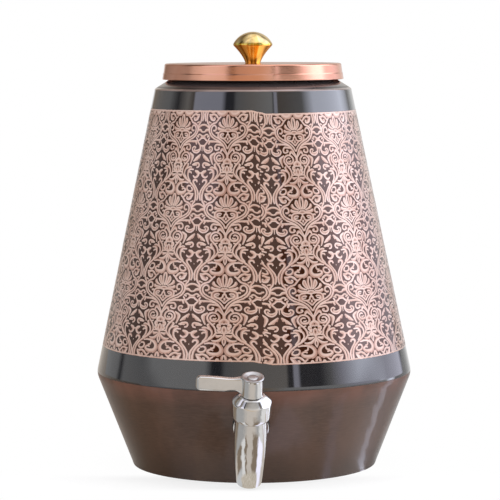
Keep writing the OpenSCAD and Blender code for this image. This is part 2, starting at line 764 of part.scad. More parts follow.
lower_body();
upper_body();
base_plate();
lid();
knob();
knob_screw();
knob_washer();
tap_body();
outer_gasket();
inner_gasket();
inner_washer();
lock_nut();
bonnet_nut();
cartridge_body();
cartridge_o_ring();
seat_seal();
fixed_disc();
moving_disc();
spindle();
spindle_o_rings();
thrust_washer();
handle();
handle_screw();
handle_cap();
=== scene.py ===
"""Copper water dispenser: two spun cones with a copper damask band, a lid with a
turned knob, and a chromed quarter-turn tap. Drawn in millimetres, built in metres."""
import math

import bmesh
import bpy
from mathutils import Matrix, Vector


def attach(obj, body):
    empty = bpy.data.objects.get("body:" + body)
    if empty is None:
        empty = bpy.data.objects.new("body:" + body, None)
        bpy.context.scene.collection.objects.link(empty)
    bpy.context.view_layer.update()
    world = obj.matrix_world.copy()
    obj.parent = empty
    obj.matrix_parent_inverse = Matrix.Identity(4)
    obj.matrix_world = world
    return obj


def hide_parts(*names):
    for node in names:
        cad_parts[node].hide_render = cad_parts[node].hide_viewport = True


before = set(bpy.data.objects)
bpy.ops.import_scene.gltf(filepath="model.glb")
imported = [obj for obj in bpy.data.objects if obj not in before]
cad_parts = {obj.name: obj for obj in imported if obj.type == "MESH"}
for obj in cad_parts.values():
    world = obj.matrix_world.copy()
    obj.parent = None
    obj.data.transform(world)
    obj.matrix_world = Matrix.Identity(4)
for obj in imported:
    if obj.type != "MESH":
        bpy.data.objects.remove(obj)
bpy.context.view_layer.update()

MM = 0.001
VESSEL, LID, HANDLE = "vessel", "lid", "handle"

# Sizes of the CAD source, in mm
RIDGE_R, RIDGE_Z, RIDGE_BEND = 100.0, 58.6, 10.0
FOOT_R = 77.2
SHOULDER_R, SHOULDER_Z, SHOULDER_BEND, SHOULDER_RISE = 62.0, 238.0, 2.0, 32.4
NECK_R, NECK_H, NECK_HOLLOW, LIP_R = 52.6, 8.6, 1.5, 1.4
SHEET, LAP, HEM_H, HEM_T = 1.0, 8.0, 1.6, 0.5
STAND_RING, PLATE_LIFT = 15.0, 2.5
LID_H, LID_T, LID_FLARE, LID_BAND, LID_STEP, LID_EDGE = 10.0, 1.0, 1.1, 3.9, 0.25, 1.3
LID_SIDE, LID_GAP = 0.4, 0.3
KNOB_H, KNOB_R, KNOB_EDGE_Z, KNOB_STEM = 19.8, 12.4, 12.4, 5.0
SCREW_HOLE = 2.05
TAP_REACH, TAP_LEAN, SPOUT_CLEAR = 17.0, 2.5, 1.5
BARREL_R, BELLY_Z, SPOUT_R, BARREL_DROP, BARREL_RISE = 10.05, 1.5, 7.45, 29.5, 15.0
BORE_R, BORE_L, SEAT_R, SEAT_LEDGE, CHAMBER_R = 5.2, 15.0, 4.0, 1.5, 7.6
SHANK_R, FLANGE_R, FLANGE_T, GASKET_T = 7.0, 11.4, 2.0, 1.5
STUD_R, STUD_END_Y, WATER_R = 8.0, 28.5, 4.5
SPIGOT_R, SPIGOT_Z = 8.9, 24.0
NUT_R, NUT_H, NUT_FLAT, NUT_TURN, NUT_HOLE = 11.85, 16.0, 7.4, 3.0, 5.1
HUB_R, HUB_RIM, HUB_H, HUB_GAP = 6.35, 6.85, 12.2, 0.3
LEVER_L, PADDLE_H, PADDLE_L, LEVER_T, PADDLE_SINK, PADDLE_R = 33.5, 9.1, 17.0, 4.2, 1.0, 3.0
CAP_R, DISH = 3.1, 0.7

# Sizes of the looks alone, in mm, and angles in degrees
JOINT_HALF, JOINT_FLOOR, JOINT_DEEP = 0.9, 0.1, 0.15
HOLE_FROM, HOLE_TO, HOLE_PLAY = 4, 6, 0.4
FOOT_ROLL, HEM_ROLL = 0.35, 0.25
SPOUT_LIP, BORE_MOUTH, OVERRUN = 0.5, 0.3, 1
THREAD_DEEP, THREAD_PITCH, THREAD_START, THREAD_STOP = 0.55, 0.97, 1.5, 1.2
FLANGE_EDGE, FLANGE_SHY, SHANK_FILLET = 0.45, 0.6, 1.6
SMOOTH_TURN = 256

UPPER_TILT = math.degrees(math.atan((RIDGE_R - SHOULDER_R) / (SHOULDER_Z - RIDGE_Z)))
LOWER_TILT = math.degrees(math.atan((RIDGE_R - FOOT_R) / RIDGE_Z))
# One repeat of the damask, and how its band lies on the cone, in mm and degrees
HALF_REPEAT, REPEAT_H = 19.3, 48.5
PALMETTE_AT, COLUMN_TURN, LEAN = 23.85, 27.1, 0.016
SEAM_AT, SEAM_SLOPE = 4.4, 4
BAND_TOP, BAND_FOOT = -0.3, 151.8
BAND_START, BAND_CLIMB, DOWN_SCALE = 169.1, 2.1, 48.7 / 48.5
SLANT_FOOT, SLANT_TOP = (RIDGE_R, 58.65), (SHOULDER_R, 238.07)
SLANT = math.hypot(SLANT_FOOT[0] - SLANT_TOP[0], SLANT_TOP[1] - SLANT_FOOT[1])
INLAY_H, INLAY_SUNK = 0.03, 0.012


# Outlines

def cos(angle):
    return math.cos(math.radians(angle))


def sin(angle):
    return math.sin(math.radians(angle))


def tan(angle):
    return math.tan(math.radians(angle))


def heading(angle):
    return Vector((cos(angle), sin(angle)))


def arc(centre, radius, start, end, step=4):
    """Points of an arc, from one angle to another."""
    count = max(1, math.ceil(abs(end - start) / step))
    return [Vector(centre) + radius * heading(start + (end - start) * i / count) for i in range(count + 1)]


def bend_centre(corner, radius, start, end):
    """Centre of a bend in a corner, between faces whose normals point at two angles."""
    a, b = heading(start), heading(end)
    return Vector(corner) - radius * (a + b) / (1 + a.dot(b))


def bezier(controls, count):
    """Points of a Bezier curve of any degree."""
    points = []
    for i in range(count + 1):
        row = [Vector(p) for p in controls]
        while len(row) > 1:
            row = [p.lerp(q, i / count) for p, q in zip(row, row[1:])]
        points.append(row[0])
    return points


def lower_r(z, sunk=0.0):
    """Radius of the lower cone at a height, sunk square to its face."""
    return FOOT_R + z * tan(LOWER_TILT) - sunk / cos(LOWER_TILT)


# Tap frame: Z up the barrel, +Y along the shank into the vessel

BARREL_UP = cos(LOWER_TILT) * cos(TAP_LEAN)
AXIS_Z = SPOUT_CLEAR + BARREL_DROP * BARREL_UP + SPOUT_R * math.sqrt(1 - BARREL_UP ** 2)
AXIS_Y = lower_r(AXIS_Z + TAP_REACH * sin(LOWER_TILT)) + TAP_REACH * cos(LOWER_TILT)
TAP_PLACE = (Matrix.Translation((0, -AXIS_Y * MM, AXIS_Z * MM))
             @ Matrix.Rotation(math.radians(LOWER_TILT), 4, "X")
             @ Matrix.Rotation(math.radians(TAP_LEAN), 4, "Y"))
ALONG_SHANK = Matrix.Rotation(math.radians(-90), 4, "X")
TAP_UP = TAP_PLACE.to_3x3() @ Vector((0, 0, 1))
HUB_Z = BARREL_RISE + NUT_H + HUB_GAP
RIM_Z = HUB_Z + HUB_H


# Node trees

def operator(operation, reflected=False):
    """A Python operator on wires that adds one Math node."""
    def adds_node(self, other):
        return self.maths(operation, *((other, self) if reflected else (self, other)))
    return adds_node


class Wire:
    """A socket of a node tree. Sums on it add Math nodes, and node() adds any other node."""
    __add__, __radd__ = operator("ADD"), operator("ADD", True)
    __sub__, __rsub__ = operator("SUBTRACT"), operator("SUBTRACT", True)
    __mul__, __rmul__ = operator("MULTIPLY"), operator("MULTIPLY", True)
    __truediv__, __pow__ = operator("DIVIDE"), operator("POWER")
    __gt__, __lt__ = operator("GREATER_THAN"), operator("LESS_THAN")

    def __init__(self, tree, socket=None):
        self.tree, self.socket = tree, socket

    def node(self, kind, settings=None, sockets=None, out=0):
        """Adds a node: its settings first, then its sockets by name or number. Gives output out."""
        made = self.tree.nodes.new(kind)
        for name, value in (settings or {}).items():
            if name == "stops":
                marks = made.color_ramp.elements
                while len(marks) < len(value):
                    marks.new(1.0)
                for mark, (place, colour) in zip(marks, value):
                    mark.position, mark.color = place, (*colour, 1.0)
            else:
                setattr(made, name, value)
        for name, value in (sockets or {}).items():
            for part in value if isinstance(value, list) else [value]:
                if isinstance(part, Wire):
                    self.tree.links.new(part.socket, made.inputs[name])
                else:
                    made.inputs[name].default_value = part
        return Wire(self.tree, made.outputs[out] if made.outputs else None)

    def output(self, number):
        """Another output of the node that this socket belongs to."""
        return Wire(self.tree, self.socket.node.outputs[number])

    def maths(self, operation, *values):
        return self.node("ShaderNodeMath", {"operation": operation}, dict(enumerate(values)))

    def parts(self):
        """The three parts of this vector."""
        x = self.node("ShaderNodeSeparateXYZ", {}, {0: self})
        return x, x.output(1), x.output(2)

    def blend(self, low, high):
        """A colour between two, by this value."""
        return self.node("ShaderNodeMix", {"data_type": "RGBA"},
                         {"Factor": self, 6: rgba(low), 7: rgba(high)}, out=2)

    def steps(self, low, high, at_low=0.0, at_high=1.0):
        """This value, spread smoothly from one pair of ends to another."""
        return self.node("ShaderNodeMapRange", {"interpolation_type": "SMOOTHSTEP"}, {
            "Value": self, "From Min": low, "From Max": high, "To Min": at_low, "To Max": at_high})

    def between(self, low, high):
        """From 0 to 1 as this length passes from one to another, given in mm."""
        return self.steps(low * MM, high * MM)

    def noise(self, size, detail=2.0, rough=0.5):
        """Noise on this vector, with blotches of about a size in mm."""
        return self.node("ShaderNodeTexNoise", {}, {
            "Vector": self, "Scale": 1.0 / (size * MM), "Detail": detail, "Roughness": rough})


def rgba(colour):
    return colour if isinstance(colour, Wire) else (*colour, 1.0)


def place(tree):
    """Object coordinates and their three parts."""
    spot = Wire(tree).node("ShaderNodeTexCoord", out=3)
    return spot, *spot.parts()


def combine(x, y, z):
    wire = next(w for w in (x, y, z) if isinstance(w, Wire))
    return wire.node("ShaderNodeCombineXYZ", {}, {0: x, 1: y, 2: z})


def azimuth_of(x, out):
    """Degrees round an axis, from its front over the right, by the ways to the right and to the front."""
    return x.maths("ARCTAN2", x, out) * math.degrees(1)


def named(wire, kind, name):
    """A named attribute of a Geometry Nodes tree."""
    return wire.node("GeometryNodeInputNamedAttribute", {"data_type": kind}, {"Name": name})


def tree_with(name, inputs):
    """A Geometry Nodes tree with a geometry and other named inputs, given as wires."""
    tree = bpy.data.node_groups.new(name, "GeometryNodeTree")
    tree.interface.new_socket(name="Geometry", in_out="OUTPUT", socket_type="NodeSocketGeometry")
    for label, kind in [("Geometry", "Geometry"), *inputs]:
        tree.interface.new_socket(name=label, in_out="INPUT", socket_type="NodeSocket" + kind)
    start = Wire(tree).node("NodeGroupInput")
    return tree, {s.name: Wire(tree, s) for s in start.socket.node.outputs if s.name}


def add(name, data):
    """A new object in the scene."""
    made = bpy.data.objects.new(name, data)
    bpy.context.scene.collection.objects.link(made)
    return made


def run_tree(name, mesh, tree, values):
    """The plain mesh that a tree makes of a mesh, with its inputs given by name."""
    bench = add(name, mesh)
    step = bench.modifiers.new("shape", "NODES")
    step.node_group = tree
    sockets = {item.name: item.identifier for item in tree.interface.items_tree if item.in_out == "INPUT"}
    for label, value in values.items():
        step[sockets[label]] = value
    return settle(bench)


def settle(bench):
    """The mesh of an object with its modifiers applied. The object is removed."""
    ready = bpy.context.evaluated_depsgraph_get()
    made = bpy.data.meshes.new_from_object(
        bench.evaluated_get(ready), preserve_all_data_layers=True, depsgraph=ready)
    made.name = bench.name
    bpy.data.objects.remove(bench)
    return made


def finished(geometry, *finishes):
    """Ends a tree: Realize Instances, then Set Material for each pair of a material and where it goes."""
    last = geometry.node("GeometryNodeRealizeInstances", {}, {0: geometry})
    for material, where in finishes:
        last = last.node("GeometryNodeSetMaterial", {}, {0: last, "Selection": where, "Material": material})
    last.node("NodeGroupOutput", {}, {0: last})


def creased(mesh, angle):
    """A mesh shaded smooth, but not across edges sharper than an angle."""
    smooth = mesh.node("GeometryNodeSetShadeSmooth", {"domain": "FACE"}, {0: mesh, "Shade Smooth": True})
    bend = mesh.node("GeometryNodeInputMeshEdgeAngle")
    return smooth.node("GeometryNodeSetShadeSmooth", {"domain": "EDGE"},
                       {0: smooth, "Selection": bend > angle, "Shade Smooth": False})


def spin_tree():
    """Spins an outline, whose points lie at (r, 0, z) in order, into a shell round Z."""
    tree, ports = tree_with("spin_outline", [("Turns", "Int"), ("Crease", "Float"),
                                             ("Outer finish", "Material"), ("Inner finish", "Material")])
    line = ports["Geometry"]
    count = line.node("GeometryNodeAttributeDomainSize", {"component": "MESH"}, {0: line})
    grid = line.node("GeometryNodeMeshGrid", {}, {
        "Size X": 2 * math.pi, "Size Y": count - 1, "Vertices X": ports["Turns"] + 1, "Vertices Y": count})
    spot = line.node("GeometryNodeInputPosition")
    turn, level, _ = spot.parts()
    along = level + (count - 1) * 0.5
    inside = line.node("GeometryNodeSampleIndex", {"data_type": "FLOAT"}, {
        "Geometry": line, "Value": named(line, "FLOAT", "inner"), "Index": along.maths("FLOOR", along)})
    marked = grid.node("GeometryNodeStoreNamedAttribute", {"data_type": "BOOLEAN", "domain": "FACE"},
                       {0: grid, "Name": "inner_face", "Value": inside > 0.5})
    point = line.node("GeometryNodeSampleIndex", {"data_type": "FLOAT_VECTOR"},
                      {"Geometry": line, "Value": spot, "Index": along.maths("ROUND", along)})
    r, _, z = point.parts()
    spun = marked.node("GeometryNodeSetPosition", {}, {0: marked, "Position": combine(
        r * turn.maths("SINE", turn), r * turn.maths("COSINE", turn) * -1.0, z)})
    closed = spun.node("GeometryNodeMergeByDistance", {}, {0: spun, "Distance": 1e-6})
    finished(creased(closed, ports["Crease"]), (ports["Outer finish"], True),
             (ports["Inner finish"], named(line, "BOOLEAN", "inner_face")))
    return tree


SPIN = spin_tree()
LONG_PART, NEAR_ITS_END = 2.5, 0.3


def held(line):
    """An outline with points near the ends of its long parts, which keep their shine straight."""
    points = [Vector(line[0])]
    for start, end in zip(line, line[1:]):
        along = Vector(end) - Vector(start)
        if along.length > LONG_PART:
            inset = along.normalized() * NEAR_ITS_END
            points += [Vector(start) + inset, Vector(end) - inset]
        points.append(Vector(end))
    return points


def drawn(name, verts, edges, faces, unit=MM):
    """A mesh from points in a unit."""
    mesh = bpy.data.meshes.new(name)
    mesh.from_pydata([tuple(c * unit for c in v) for v in verts], edges, faces)
    return mesh


def spin(name, outer, inner, finish, lining=None, turns=192, crease=32):
    """A closed shell spun from an outline in mm: its outer points, then its inner ones."""
    first = held(outer)
    rest = inner if outer[0][0] == 0 and (inner or outer)[-1][0] == 0 else [*inner, outer[0]]
    closed = first + held([outer[-1], *rest])[1:]
    mesh = drawn(name, [(p[0], 0, p[1]) for p in closed], [(i, i + 1) for i in range(len(closed) - 1)], [])
    mark = mesh.attributes.new("inner", "FLOAT", "POINT")
    for i in range(len(closed)):
        mark.data[i].value = 1.0 if i >= len(first) - 1 and lining else 0.0
    made = run_tree(name, mesh, SPIN, {"Turns": turns, "Crease": math.radians(crease),
                                       "Outer finish": finish, "Inner finish": lining or finish})
    turn_out(made)
    return made


def turn_out(mesh, merge=0.0):
    """Makes the faces of a closed mesh point outwards."""
    work = bmesh.new()
    work.from_mesh(mesh)
    if merge:
        bmesh.ops.remove_doubles(work, verts=work.verts, dist=merge)
    bmesh.ops.recalc_face_normals(work, faces=work.faces)
    work.to_mesh(mesh)
    work.free()


def smooth(mesh, crease=None):
    """Shades a mesh smooth, but not across edges sharper than a crease in degrees."""
    mesh.polygons.foreach_set("use_smooth", [True] * len(mesh.polygons))
    if crease:
        mesh.set_sharp_from_angle(angle=math.radians(crease))


def carve(name, mesh, cuts, crease):
    """A mesh joined with or cut by others in turn."""
    base = add(name, mesh)
    tools = [add("cutter", tool) for _, tool in cuts]
    for (operation, _), tool in zip(cuts, tools):
        step = base.modifiers.new("cut", "BOOLEAN")
        step.operation, step.object, step.solver = operation, tool, "EXACT"
    made = settle(base)
    for tool in tools:
        bpy.data.objects.remove(tool)
    turn_out(made, 1e-7)
    smooth(made, crease)
    return made


def piece(name, mesh, body, slot, *nodes):
    """A finished piece: it rides on a body and may stand for CAD nodes, which it hides. Its slot is not used.
    """
    made = add(name, mesh)
    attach(made, body)
    if nodes:
        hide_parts(*nodes)
    return made


# Finishes

# Heights where a finish changes, in mm; some of these changes are painted highlight, painted shade or painted
# reflection
WEAR_AND_HIGHLIGHT_FROM, NECK_FROM, NECK_HALFWAY = 237.3, 238.5, 239.3
RUB_AND_HIGHLIGHT_FROM, RUB_AND_HIGHLIGHT_TO, FOOT_SHADE_FROM, FOOT_SHADE_TO = 46, 57.5, 2, 26
DOME_FROM, DOME_TO = 266, 267.4
HUB_RIM_DEEP = 0.9


def new_tree(data):
    """The empty node tree of a material or world."""
    data.use_nodes = True
    data.node_tree.nodes.clear()
    return data.node_tree


def finish(name, steady, varying):
    """A material: sockets of its shader that are the same all over, and a function for the rest."""
    made = bpy.data.materials.new(name)
    tree = new_tree(made)
    shader = Wire(tree).node("ShaderNodeBsdfPrincipled", {}, {**steady, **varying(*place(tree))})
    shader.node("ShaderNodeOutputMaterial", {}, {"Surface": shader})
    return made


def bumped(height, depth):
    """A Normal from a height between 0 and 1, with a depth in mm."""
    return height.node("ShaderNodeBump", {}, {"Height": height, "Distance": depth * MM})


def drift(x, y):
    """Slow change of a pattern along the lines round the axis."""
    return x.maths("ARCTAN2", x, y) * 0.009


def spun_lines(x, y, z, radial, size):
    """Fine lines that run round the axis, as a spinning tool leaves them."""
    r = (x * x + y * y) ** 0.5
    return combine(drift(x, y), r * 0.02, z + r * radial).noise(size, 3.0, 0.6)


def climb(angle):
    """How far the damask band has climbed, by the degrees from its seam. A short slope joins its ends."""
    step = 1 - angle.steps(0, SEAM_SLOPE) - angle.steps(360 - SEAM_SLOPE, 360)
    return angle * (BAND_CLIMB / 360) + step * (BAND_CLIMB / 2)


def band_mask(x, y, z):
    """1 on the damask band of the upper cone, whose edges climb once round it."""
    turn = azimuth_of(x, y * -1.0) - SEAM_AT
    angle = turn.maths("FLOORED_MODULO", turn, 360.0)
    slant = (z - SLANT_FOOT[1] * MM) / ((SLANT_TOP[1] - SLANT_FOOT[1]) * MM) * SLANT
    down = (BAND_START + climb(angle) - slant) / DOWN_SCALE
    return (down > BAND_TOP) * (down < BAND_FOOT)


def dark_gloss(spot, x, y, z):
    smudge = spot.noise(34, 3.0, 0.55)
    # A lighter copper-brown line along the shoulder's corner: worn coating, and also a painted highlight of
    # the bend
    edge = z.between(WEAR_AND_HIGHLIGHT_FROM, WEAR_AND_HIGHLIGHT_FROM + 0.4) * (1 - z.between(NECK_FROM, NECK_FROM + 0.3))
    wear_and_painted_highlight = edge * spot.noise(14, 2.0).steps(0.1, 0.9, 0.4, 0.8)
    neck = z.between(NECK_FROM, NECK_FROM + 0.4)
    tone = smudge.steps(0.3, 0.75).blend((0.0105, 0.0105, 0.013), (0.017, 0.0155, 0.016))
    # Painted light: from just above the shoulder's corner, the slope and neck are painted lighter upward to
    # lift the shade under the lid
    high = z.between(NECK_FROM + 0.5, NECK_FROM + 2.3).blend((0.016, 0.011, 0.011), (0.036, 0.029, 0.030))
    band = band_mask(x, y, z)
    etched = spot.noise(0.6, 2.0, 0.6).blend((0.052, 0.013, 0.004), (0.090, 0.025, 0.009))
    dulled = neck * (0.65 - z.between(NECK_HALFWAY, NECK_HALFWAY + 0.7) * 0.45)
    return {"Base Color": wear_and_painted_highlight.blend(band.blend(neck.blend(tone, high), etched), (0.30, 0.20, 0.17)),
            "Metallic": band * 0.92,
            "Roughness": smudge.steps(0.35, 0.8, 0.045, 0.08) + wear_and_painted_highlight * 0.12 + band * 0.3 + neck * 0.2,
            "Coat Weight": (1 - band * 0.4) * (1 - dulled),
            "Normal": bumped(spot.noise(11, 1.0), 0.012)}


def brown_lacquer(spot, x, y, z):
    lines = spun_lines(x, y, z, 0.4, 0.55)
    broad = spun_lines(x, y, z, 0.4, 5.0)
    cloud = combine(x, y, z * 0.5).noise(26, 3.0, 0.55)
    # Reddish band below the ridge: copper showing through rubbed lacquer, and also a painted highlight of the
    # ridge's bend
    rub_and_painted_highlight = z.between(RUB_AND_HIGHLIGHT_FROM, RUB_AND_HIGHLIGHT_TO) * cloud.steps(0.3, 0.62, 0.35, 1.0)
    # Painted shade: the lower cone is painted darker towards its foot
    low = 1 - z.between(FOOT_SHADE_FROM, FOOT_SHADE_TO)
    tone = cloud.steps(0.3, 0.7).blend((0.050, 0.022, 0.011), (0.080, 0.037, 0.020))
    tone = (lines.steps(0.35, 0.7) * 0.5).blend(tone, (0.098, 0.050, 0.031))
    tone = (low * 0.45).blend(tone, (0.028, 0.015, 0.010))
    return {"Base Color": (rub_and_painted_highlight * 0.62).blend(tone, (0.16, 0.058, 0.036)),
            "Roughness": 0.36 + lines * 0.1 + broad * 0.05,
            "Normal": bumped(lines * 0.6 + broad * 0.4, 0.02)}


def bare_copper(spot, x, y, z):
    lines = spun_lines(x, y, z, 0.6, 0.8)
    stain = combine(x, y, z * 0.6).noise(22, 4.0, 0.6)
    tone = stain.steps(0.35, 0.7).blend((0.78, 0.40, 0.27), (0.56, 0.25, 0.16))
    return {"Base Color": (lines * 0.3).blend(tone, (0.85, 0.50, 0.36)),
            "Roughness": 0.26 + stain * 0.2,
            "Normal": bumped(lines, 0.015)}


def inlay_copper(spot, x, y, z):
    crest = spot.node("ShaderNodeAttribute", {"attribute_name": "crest"}, out=2)
    width = spot.node("ShaderNodeAttribute", {"attribute_name": "width"}, out=2)
    patch = spot.noise(17, 3.0, 0.6).steps(0.3, 0.7)
    grain = spot.noise(0.5, 2.0, 0.7)
    # Wide strokes are darker along their crest: an engraved line, and also painted shade that leaves their
    # sides looking lit
    heart = crest.steps(0.42, 0.72) * width.steps(0.55, 1.1)
    tone = patch.blend((0.66, 0.44, 0.36), (0.75, 0.54, 0.46))
    tone = (heart * 0.75).blend(tone, patch.blend((0.42, 0.19, 0.13), (0.50, 0.27, 0.20)))
    return {"Base Color": (grain.steps(0.5, 0.8) * 0.3).blend(tone, (0.80, 0.60, 0.51)),
            "Roughness": 0.28 + grain * 0.14,
            "Normal": bumped(grain, 0.01)}


def polished_copper(spot, x, y, z):
    lines = spun_lines(x, y, z, 1.0, 0.35)
    cloud = spot.noise(24, 3.0, 0.55)
    tone = cloud.steps(0.3, 0.7).blend((0.86, 0.42, 0.285), (0.90, 0.47, 0.335))
    return {"Base Color": (lines.steps(0.35, 0.8) * 0.25).blend(tone, (0.80, 0.38, 0.25)),
            "Roughness": 0.09 + cloud * 0.08 + lines * 0.03,
            "Normal": bumped(lines * 0.7 + cloud * 0.3, 0.012)}


def knob_brass(spot, x, y, z):
    lines = spun_lines(x, y, z, 1.0, 0.3)
    # Painted reflection: light and dark streaks down the dome and the underside, and the underside's
    # orange-to-yellow tones, stand for what the brass reflects
    painted_reflection_streak = combine(drift(x, y), z * 0.05, 0.0).noise(2.4, 2.0, 0.6).steps(0.36, 0.64)
    under = painted_reflection_streak.blend((0.66, 0.31, 0.004), (1.0, 0.86, 0.22))
    tone = z.between(DOME_FROM, DOME_TO).blend(under, painted_reflection_streak.blend((0.82, 0.58, 0.22), (0.92, 0.72, 0.38)))
    return {"Base Color": (lines.steps(0.4, 0.8) * 0.2).blend(tone, (0.90, 0.66, 0.26)),
            "Roughness": 0.08 + lines * 0.06,
            "Normal": bumped(lines, 0.01)}


def chrome(spot, x, y, z):
    mist = spot.noise(9.0, 2.0, 0.6)
    up_barrel = x * TAP_UP[0] + (y + AXIS_Y * MM) * TAP_UP[1] + (z - AXIS_Z * MM) * TAP_UP[2]
    # The hub's top, with its rim, dish and cap, is rougher and painted a darker grey: painted shade
    rim = up_barrel > (RIM_Z - HUB_RIM_DEEP) * MM
    tone = mist.steps(0.3, 0.8).blend((0.83, 0.82, 0.81), (0.76, 0.75, 0.74))
    return {"Base Color": rim.blend(tone, (0.56, 0.55, 0.55)),
            "Roughness": 0.035 + mist * 0.06 + rim * 0.22,
            "Normal": bumped(spot.noise(6.0, 2.0, 0.5), 0.08)}


def grained(stretch, noise, dark, light, rough, depth, ends=None):
    """An inner finish: one grain, stretched along the axes, turns its tone, roughness and relief."""
    def varying(spot, x, y, z):
        grain = combine(*(part * by for part, by in zip((x, y, z), stretch))).noise(*noise)
        tone = grain.steps(*ends) if ends else grain
        relief = {"Normal": bumped(grain, depth)} if depth else {}
        return {"Base Color": tone.blend(dark, light), "Roughness": rough[0] + grain * rough[1], **relief}
    return varying


METAL = {"Metallic": 1.0}
DARK_GLOSS = finish("dark_gloss_lacquer", {"IOR": 1.45, "Coat IOR": 1.85, "Coat Roughness": 0.03},
                    dark_gloss)
BROWN = finish("satin_brown_lacquer", {"IOR": 1.45, "Coat Weight": 0.4, "Coat Roughness": 0.06},
               brown_lacquer)
BARE_COPPER = finish("bare_copper_lining", METAL, bare_copper)
INLAY = finish("inlaid_copper", {"Metallic": 0.45, "Coat Weight": 0.8, "Coat IOR": 1.8,
                                 "Coat Roughness": 0.06}, inlay_copper)
LID_COPPER = finish("polished_lid_copper", METAL, polished_copper)
KNOB_BRASS = finish("turned_knob_brass", METAL, knob_brass)
CHROME = finish("tap_chrome", METAL, chrome)
STEEL = finish("plain_steel", METAL, grained(
    (1, 6, 1), (0.8, 3.0, 0.6), (0.50, 0.50, 0.50), (0.64, 0.64, 0.63), (0.28, 0.16), 0.01))
VALVE_BRASS = finish("machined_valve_brass", METAL, grained(
    (1, 1, 8), (1.2, 3.0, 0.6), (0.66, 0.45, 0.18), (0.78, 0.57, 0.27), (0.25, 0.16), 0.01))
RUBBER = finish("black_rubber", {"IOR": 1.5}, grained(
    (1, 1, 1), (0.7, 3.0, 0.6), (0.018, 0.018, 0.018), (0.05, 0.048, 0.045), (0.6, 0.2), 0.03, (0.4, 0.8)))
CERAMIC = finish("lapped_ceramic", {"IOR": 1.6}, grained(
    (1, 1, 1), (0.4, 2.0, 0.6), (0.80, 0.78, 0.74), (0.88, 0.87, 0.84), (0.16, 0.1), 0))
ACETAL = finish("white_acetal", {"IOR": 1.48}, grained(
    (1, 1, 1), (2.5, 2.0, 0.5), (0.78, 0.77, 0.73), (0.86, 0.85, 0.82), (0.4, 0.12), 0))


# Vessel

RIDGE_C = bend_centre((RIDGE_R, RIDGE_Z), RIDGE_BEND, -LOWER_TILT, UPPER_TILT)
SHOULDER_FACE = 90 - SHOULDER_RISE
SHOULDER_C = bend_centre((SHOULDER_R, SHOULDER_Z), SHOULDER_BEND, UPPER_TILT, SHOULDER_FACE)
NECK_ROOT_Z = SHOULDER_Z + (SHOULDER_R - NECK_R) * tan(SHOULDER_RISE)
HOLLOW_C = bend_centre((NECK_R, NECK_ROOT_Z), -NECK_HOLLOW, SHOULDER_FACE, 0)
LIP_TOP_Z = NECK_ROOT_Z + NECK_H
LIP_C = Vector((NECK_R - SHEET + LIP_R, LIP_TOP_Z - LIP_R))


def ridge(sunk, start, end, step=4):
    """The ridge's bend, sunk from its outer face."""
    return arc(RIDGE_C, RIDGE_BEND - sunk, start, end, step)


def upper_line(sunk, lowest):
    """The upper sheet from the ridge to the neck, sunk from its outer face."""
    return [*ridge(sunk, lowest, UPPER_TILT, 2),
            *arc(SHOULDER_C, SHOULDER_BEND - sunk, UPPER_TILT, SHOULDER_FACE),
            *arc(HOLLOW_C, -(NECK_HOLLOW + sunk), SHOULDER_FACE, 0)]


def upper_cone():
    lip_start = math.degrees(math.asin((NECK_R - LIP_C[0]) / LIP_R)) - 90
    outer = [*ridge(JOINT_DEEP, 0, JOINT_FLOOR), *upper_line(0, JOINT_HALF),
             *arc(LIP_C, LIP_R, lip_start, 180, 8)]
    mesh = spin("upper_cone", outer, upper_line(SHEET, 0)[::-1], DARK_GLOSS, BARE_COPPER, SMOOTH_TURN)
    piece("upper_cone", mesh, VESSEL, "dark_gloss", "upper_body")


def lower_cone():
    """The lower sheet with its joggled lap inside the upper one, and the hole for the tap's stud."""
    joggle = LOWER_TILT * 0.4
    hem_top = HEM_H + HEM_T
    lap = RIDGE_C + (RIDGE_BEND - SHEET) * heading(UPPER_TILT) + LAP * heading(90 + UPPER_TILT)
    outer = [(lower_r(SHEET, HEM_T), SHEET), (lower_r(HEM_H, HEM_T), HEM_H), (lower_r(HEM_H), HEM_H),
             *ridge(0, -LOWER_TILT, -JOINT_HALF, 2), *ridge(JOINT_DEEP, -JOINT_FLOOR, 0),
             *ridge(SHEET, 0, UPPER_TILT), lap]
    inner = [lap - SHEET * heading(UPPER_TILT), *ridge(2 * SHEET, UPPER_TILT, -joggle),
             *ridge(SHEET, -2 * joggle, -LOWER_TILT), (lower_r(hem_top, SHEET), hem_top),
             (lower_r(HEM_H, SHEET + HEM_T), HEM_H), (lower_r(SHEET, SHEET + HEM_T), SHEET)]
    whole = spin("lower_cone", outer, inner, BROWN, BARE_COPPER, SMOOTH_TURN)
    hole_r, front, back = STUD_R + HOLE_PLAY, TAP_REACH - HOLE_FROM, TAP_REACH + HOLE_TO
    hole = spin("tap_hole", [(0, front), (hole_r, front), (hole_r, back), (0, back)], [], BROWN, turns=64)
    hole.transform(TAP_PLACE @ ALONG_SHANK)
    mesh = carve("lower_cone", whole, [("DIFFERENCE", hole)], 40)
    piece("lower_cone", mesh, VESSEL, "brown_lacquer", "lower_body")


